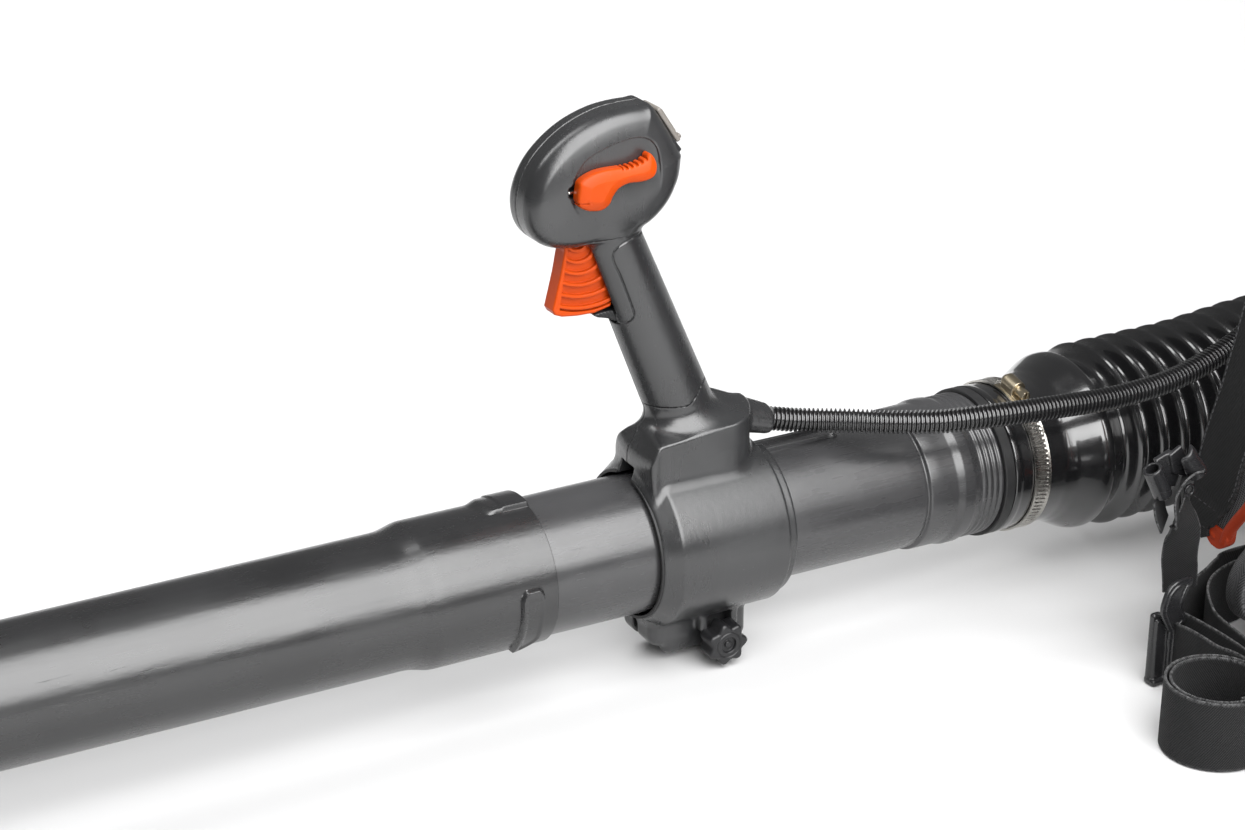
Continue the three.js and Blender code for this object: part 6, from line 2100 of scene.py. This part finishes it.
def belt_webs():
    """The hip belt's webbing on its edge: both sides, the layer doubled back, and the rolled end."""
    roll_low, roll_high = millimetres("belt_roll")
    height = roll_high[2] - roll_low[2] - 1.5
    level = (roll_low[2] + roll_high[2]) / 2
    up = (0, 0, 1)

    def levelled(*places):
        return [(x, y, level) for x, y in places]

    right = [(-168, 73, 46), (-192, 92, 34)]
    right += levelled((-215, 107), (-240, 96), (-258, 87.7), (-272, 80), (-287, 73.5))
    inner = levelled((-205, 97), (-224, 94), (-241, 87), (-253, 78), (-262, 67.5), (-270, 55), (-276, 43),
                     (-280, 22), (-285, -15), (-291, -45), (-297, -62))
    outer = levelled((-292, 62), (-293, 58), (-292.5, 49), (-291.5, 38), (-291, 23), (-291.5, 4), (-294, -18),
                     (-297, -42), (-301, -60))
    left = [(-238, -66, 42), (-246, -68, 38), (-268, -76, 30), (-292, -85, level + 1)]
    webbing("belt_web_right", right, up, height, 2, 1.8, "belt_webbing_right")
    webbing("belt_web_inner", inner, up, height, 2, 1.8)
    webbing("belt_web_outer", outer, up, height, 2, 1.8)
    webbing("belt_web_left", left, up, height, 2, 1.8, "belt_webbing_left")
    centre = (roll_low + roll_high) / 2
    radius = (roll_high[0] - roll_low[0]) / 2
    start, turns, layer = math.radians(28), 2.35, 3.2
    spiral = []
    for step in range(4, int(turns * 60) + 1):
        turn = step / 60 * 2 * math.pi
        reach = radius - 1.0 - layer * turn / (2 * math.pi) + 0.4 * math.sin(2 * turn + 0.7)
        spiral.append((centre[0] + reach * math.cos(start - turn), centre[1] + reach * math.sin(start - turn), level))
    tail = [(-291, 68, 20), (-296.5, 60.5, 20.5), (-301.5, 52, 21.5), (-304.5, 43.5, 23)]
    tail += levelled((-304.5, 34), (-304, 24), (-304, 10), (-300.5, -2))
    gathered = [39, 46.5] + [height] * 14
    webbing("belt_roll_spiral", tail + spiral, up, gathered, 1.5, 1.9, "belt_roll")


SLIDER_OUTLINE = [(-278.6, 60.7), (-286, 62.4), (-294, 61.4), (-300.5, 56), (-303.6, 47.1), (-303.2, 41),
                  (-300.8, 35.8), (-297, 29), (-295.2, 25.6), (-294.6, 16), (-288.4, 16), (-288.6, 26.2),
                  (-285.4, 29.2), (-281.6, 31.2), (-282.2, 35.6), (-285.3, 41), (-286, 45.6), (-283.4, 51.6),
                  (-279.2, 56.4)]


def slider():
    """The belt's slider: a swept hook plate on top, two bars the webbing runs round, and a foot."""
    f = Field((-320, 46, -0.5), (-284, 70, 76), 0.45)
    line = [(x - 12.1, z + 11) for x, z in SLIDER_OUTLINE]
    outline = f.outline(1, rounded_outline(line, 5))
    plate_y = 50.6 + 0.0035 * (f.z - 55) ** 2 + 1.6 * ease(f.x, -304, -292)
    plate = meet(outline, np.abs(f.y - plate_y) - 1.7, 1.2)
    raised = meet(meet(outline + 2.6, -(outline + 4.2)), np.abs(f.y - plate_y + 0.6) - 1.9, 0.5)
    plate = join(plate, meet(raised, 36 - f.z), 0.6)
    front_bar = f.box((-306.8, 50.2, 0.6), (-300.4, 54.0, 39), 1.4)
    ridge = f.box((-304.7, 48.9, 3), (-302.5, 51.6, 39), 0.9)
    rear_bar = f.box((-317, 55.6, 0.5), (-309.4, 60.4, 50), 2.2)
    foot = f.box((-317, 50.6, 0.5), (-300.4, 60.4, 4.4), 1.6)
    foot = join(foot, f.box((-315, 53.6, 1), (-302, 57.4, 46), 1.2), 1)
    bridge = f.cone((-313, 58, 47), (-306, 53, 50), 2.2)
    solid = join(join(plate, join(front_bar, ridge, 0.6), 1.2), join(rear_bar, join(foot, bridge, 1), 1), 1.2)
    piece(f, solid, "belt_slider_hook", BUCKLE, "black_plastic", "belt_slider")


def buckle():
    """The side-release buckle's socket: arched faces, side windows and a webbing bar."""
    low, high, f = around("belt_buckle", 2, 0.7)
    middle = (low + high) / 2
    half = (high - low) / 2
    arch = half[0] - 3.2 * ((f.z - middle[2]) / half[2]) ** 2 - 2.5 * ease(f.y, middle[1], high[1])
    body = meet(np.abs(f.x - middle[0]) - arch, meet(f.span(1), f.span(2), 7), 3)
    for sign in (-1, 1):
        window = meet(f.slab(1, low[1] + 9, low[1] + 27), sign * (middle[2] - f.z) + 15, 2)
        body = cut(body, window, 1.2)
    slot = meet(f.slab(1, high[1] - 13, high[1] - 6), f.slab(2, low[2] + 4, high[2] - 4), 2)
    body = cut(body, slot, 1)
    mouth = f.box((middle[0] - 6, low[1] - 9, low[2] + 5), (middle[0] + 6, high[1] - 17, high[2] - 5), 3)
    body = cut(body, mouth, 0.6)
    panel = meet(np.abs(f.z - middle[2]) - 11, f.slab(1, low[1] + 8, high[1] - 18), 5)
    body = cut(body, meet(panel, low[0] + 1.2 - f.x), 0.6)
    piece(f, body, "belt_buckle_socket", BUCKLE, "black_plastic", "belt_buckle")


def strap_adjuster():
    """The ladder lock below the shoulder strap: its lift tab, its rolled bar and side plates."""
    for side, hand in SIDES:
        f = Field((-322, 58, 112), (-266, 90, 162), 0.55)
        tab_start, tab_end = (-292, 69, 151), (-281.6, 69, 138)
        tube = f.cone(tab_start, tab_end, 7.4)
        shell = meet(tube, 5.4 - f.cone(tab_start, tab_end, 0))
        axis = np.array([10.4, 0, -13.0])
        axis /= np.linalg.norm(axis)
        along = (f.x + 292) * axis[0] + (f.z - 151) * axis[2]
        shell = meet(meet(shell, np.abs(along - 8) - 11, 0.6), f.y - 69 - 0.35 * (f.x + 287), 0.6)
        bar_start, bar_end = (-313, 73, 143), (-302.6, 73, 123.5)
        bar = meet(f.cone(bar_start, bar_end, 6.2), 4.2 - f.cone(bar_start, bar_end, 0))
        bar = meet(bar, np.abs((f.x + 313) * 0.47 - (f.z - 143) * 0.88 - 10) - 11.5, 0.6)
        web = f.outline(1, [(-309, 148), (-297, 152), (-287, 138), (-291, 126), (-299, 127)])
        web = np.maximum(meet(web, np.abs(f.y - 77) - 2, 1), -0.1)
        side_plate = f.outline(1, [(-300, 150), (-291, 155), (-280, 138), (-285, 132), (-296, 137)])
        side_plate = meet(side_plate, np.abs(f.y - 74.5) - 1.6, 1)
        loop = np.hypot(np.hypot(f.x + 283.2, f.z - 123.5) - 3.4, f.y - 71) - 1.1
        solid = join(join(join(shell, bar, 0.8), web, 1.2), join(side_plate, loop, 0.5), 1.2)
        if side < 0:
            solid = solid[:, ::-1, :]
            f.low[1] = -(f.low[1] + (f.y.size - 1) * f.pitch)
        piece(f, solid, f"strap_adjuster_{hand}", BUCKLE, "black_plastic")


def narrow_straps():
    """The narrow webbing from the ladder lock down to the belt, and its short folded tail."""
    for side, hand in SIDES:
        flip = np.array([1, side, 1])
        drop = [(-284.2, 74, 122), (-284.5, 73, 108), (-283.6, 72.6, 100), (-282.9, 72.6, 92), (-284.3, 72.8, 84),
                (-284.2, 73.2, 75), (-282.7, 73.6, 67), (-280.9, 74.6, 58), (-279.5, 75.5, 51)]
        turned_by = [78, 66, 44, 20, 6, 2, 4, 8, 10]
        leaf = [(-281, 70, 137), (-286, 69, 135.4), (-291, 68.4, 131.5), (-294.8, 68, 125), (-295, 68, 119),
                (-293.6, 68.2, 113), (-292.8, 68.4, 107), (-293.6, 68.6, 103), (-296, 69, 100.4)]
        tail = [(-304, 76, 122), (-302.6, 76, 115), (-300.4, 76, 108), (-297.4, 75.4, 101)]
        for kind, line, across, width in (("narrow_strap", drop, [facing(a) * flip for a in turned_by], 23.5),
                                          ("strap_fold", leaf, facing(70) * flip, 19),
                                          ("strap_tail", tail, facing(62) * flip, 19)):
            webbing(f"{kind}_{hand}", [tuple(flip * p) for p in line], across, width, 1.2, 1.5)


def belt():
    belt_webs()
    slider()
    buckle()
    strap_adjuster()
    narrow_straps()


def harness():
    back_pad()
    shoulder_straps()
    hip_pads()
    belt()


# ---------------------------------------------------------------- scene
make_camera()
conduit()
floor()
lights()
tubes()
rails()
bellows()
clamps()
handle()
pack()
harness()
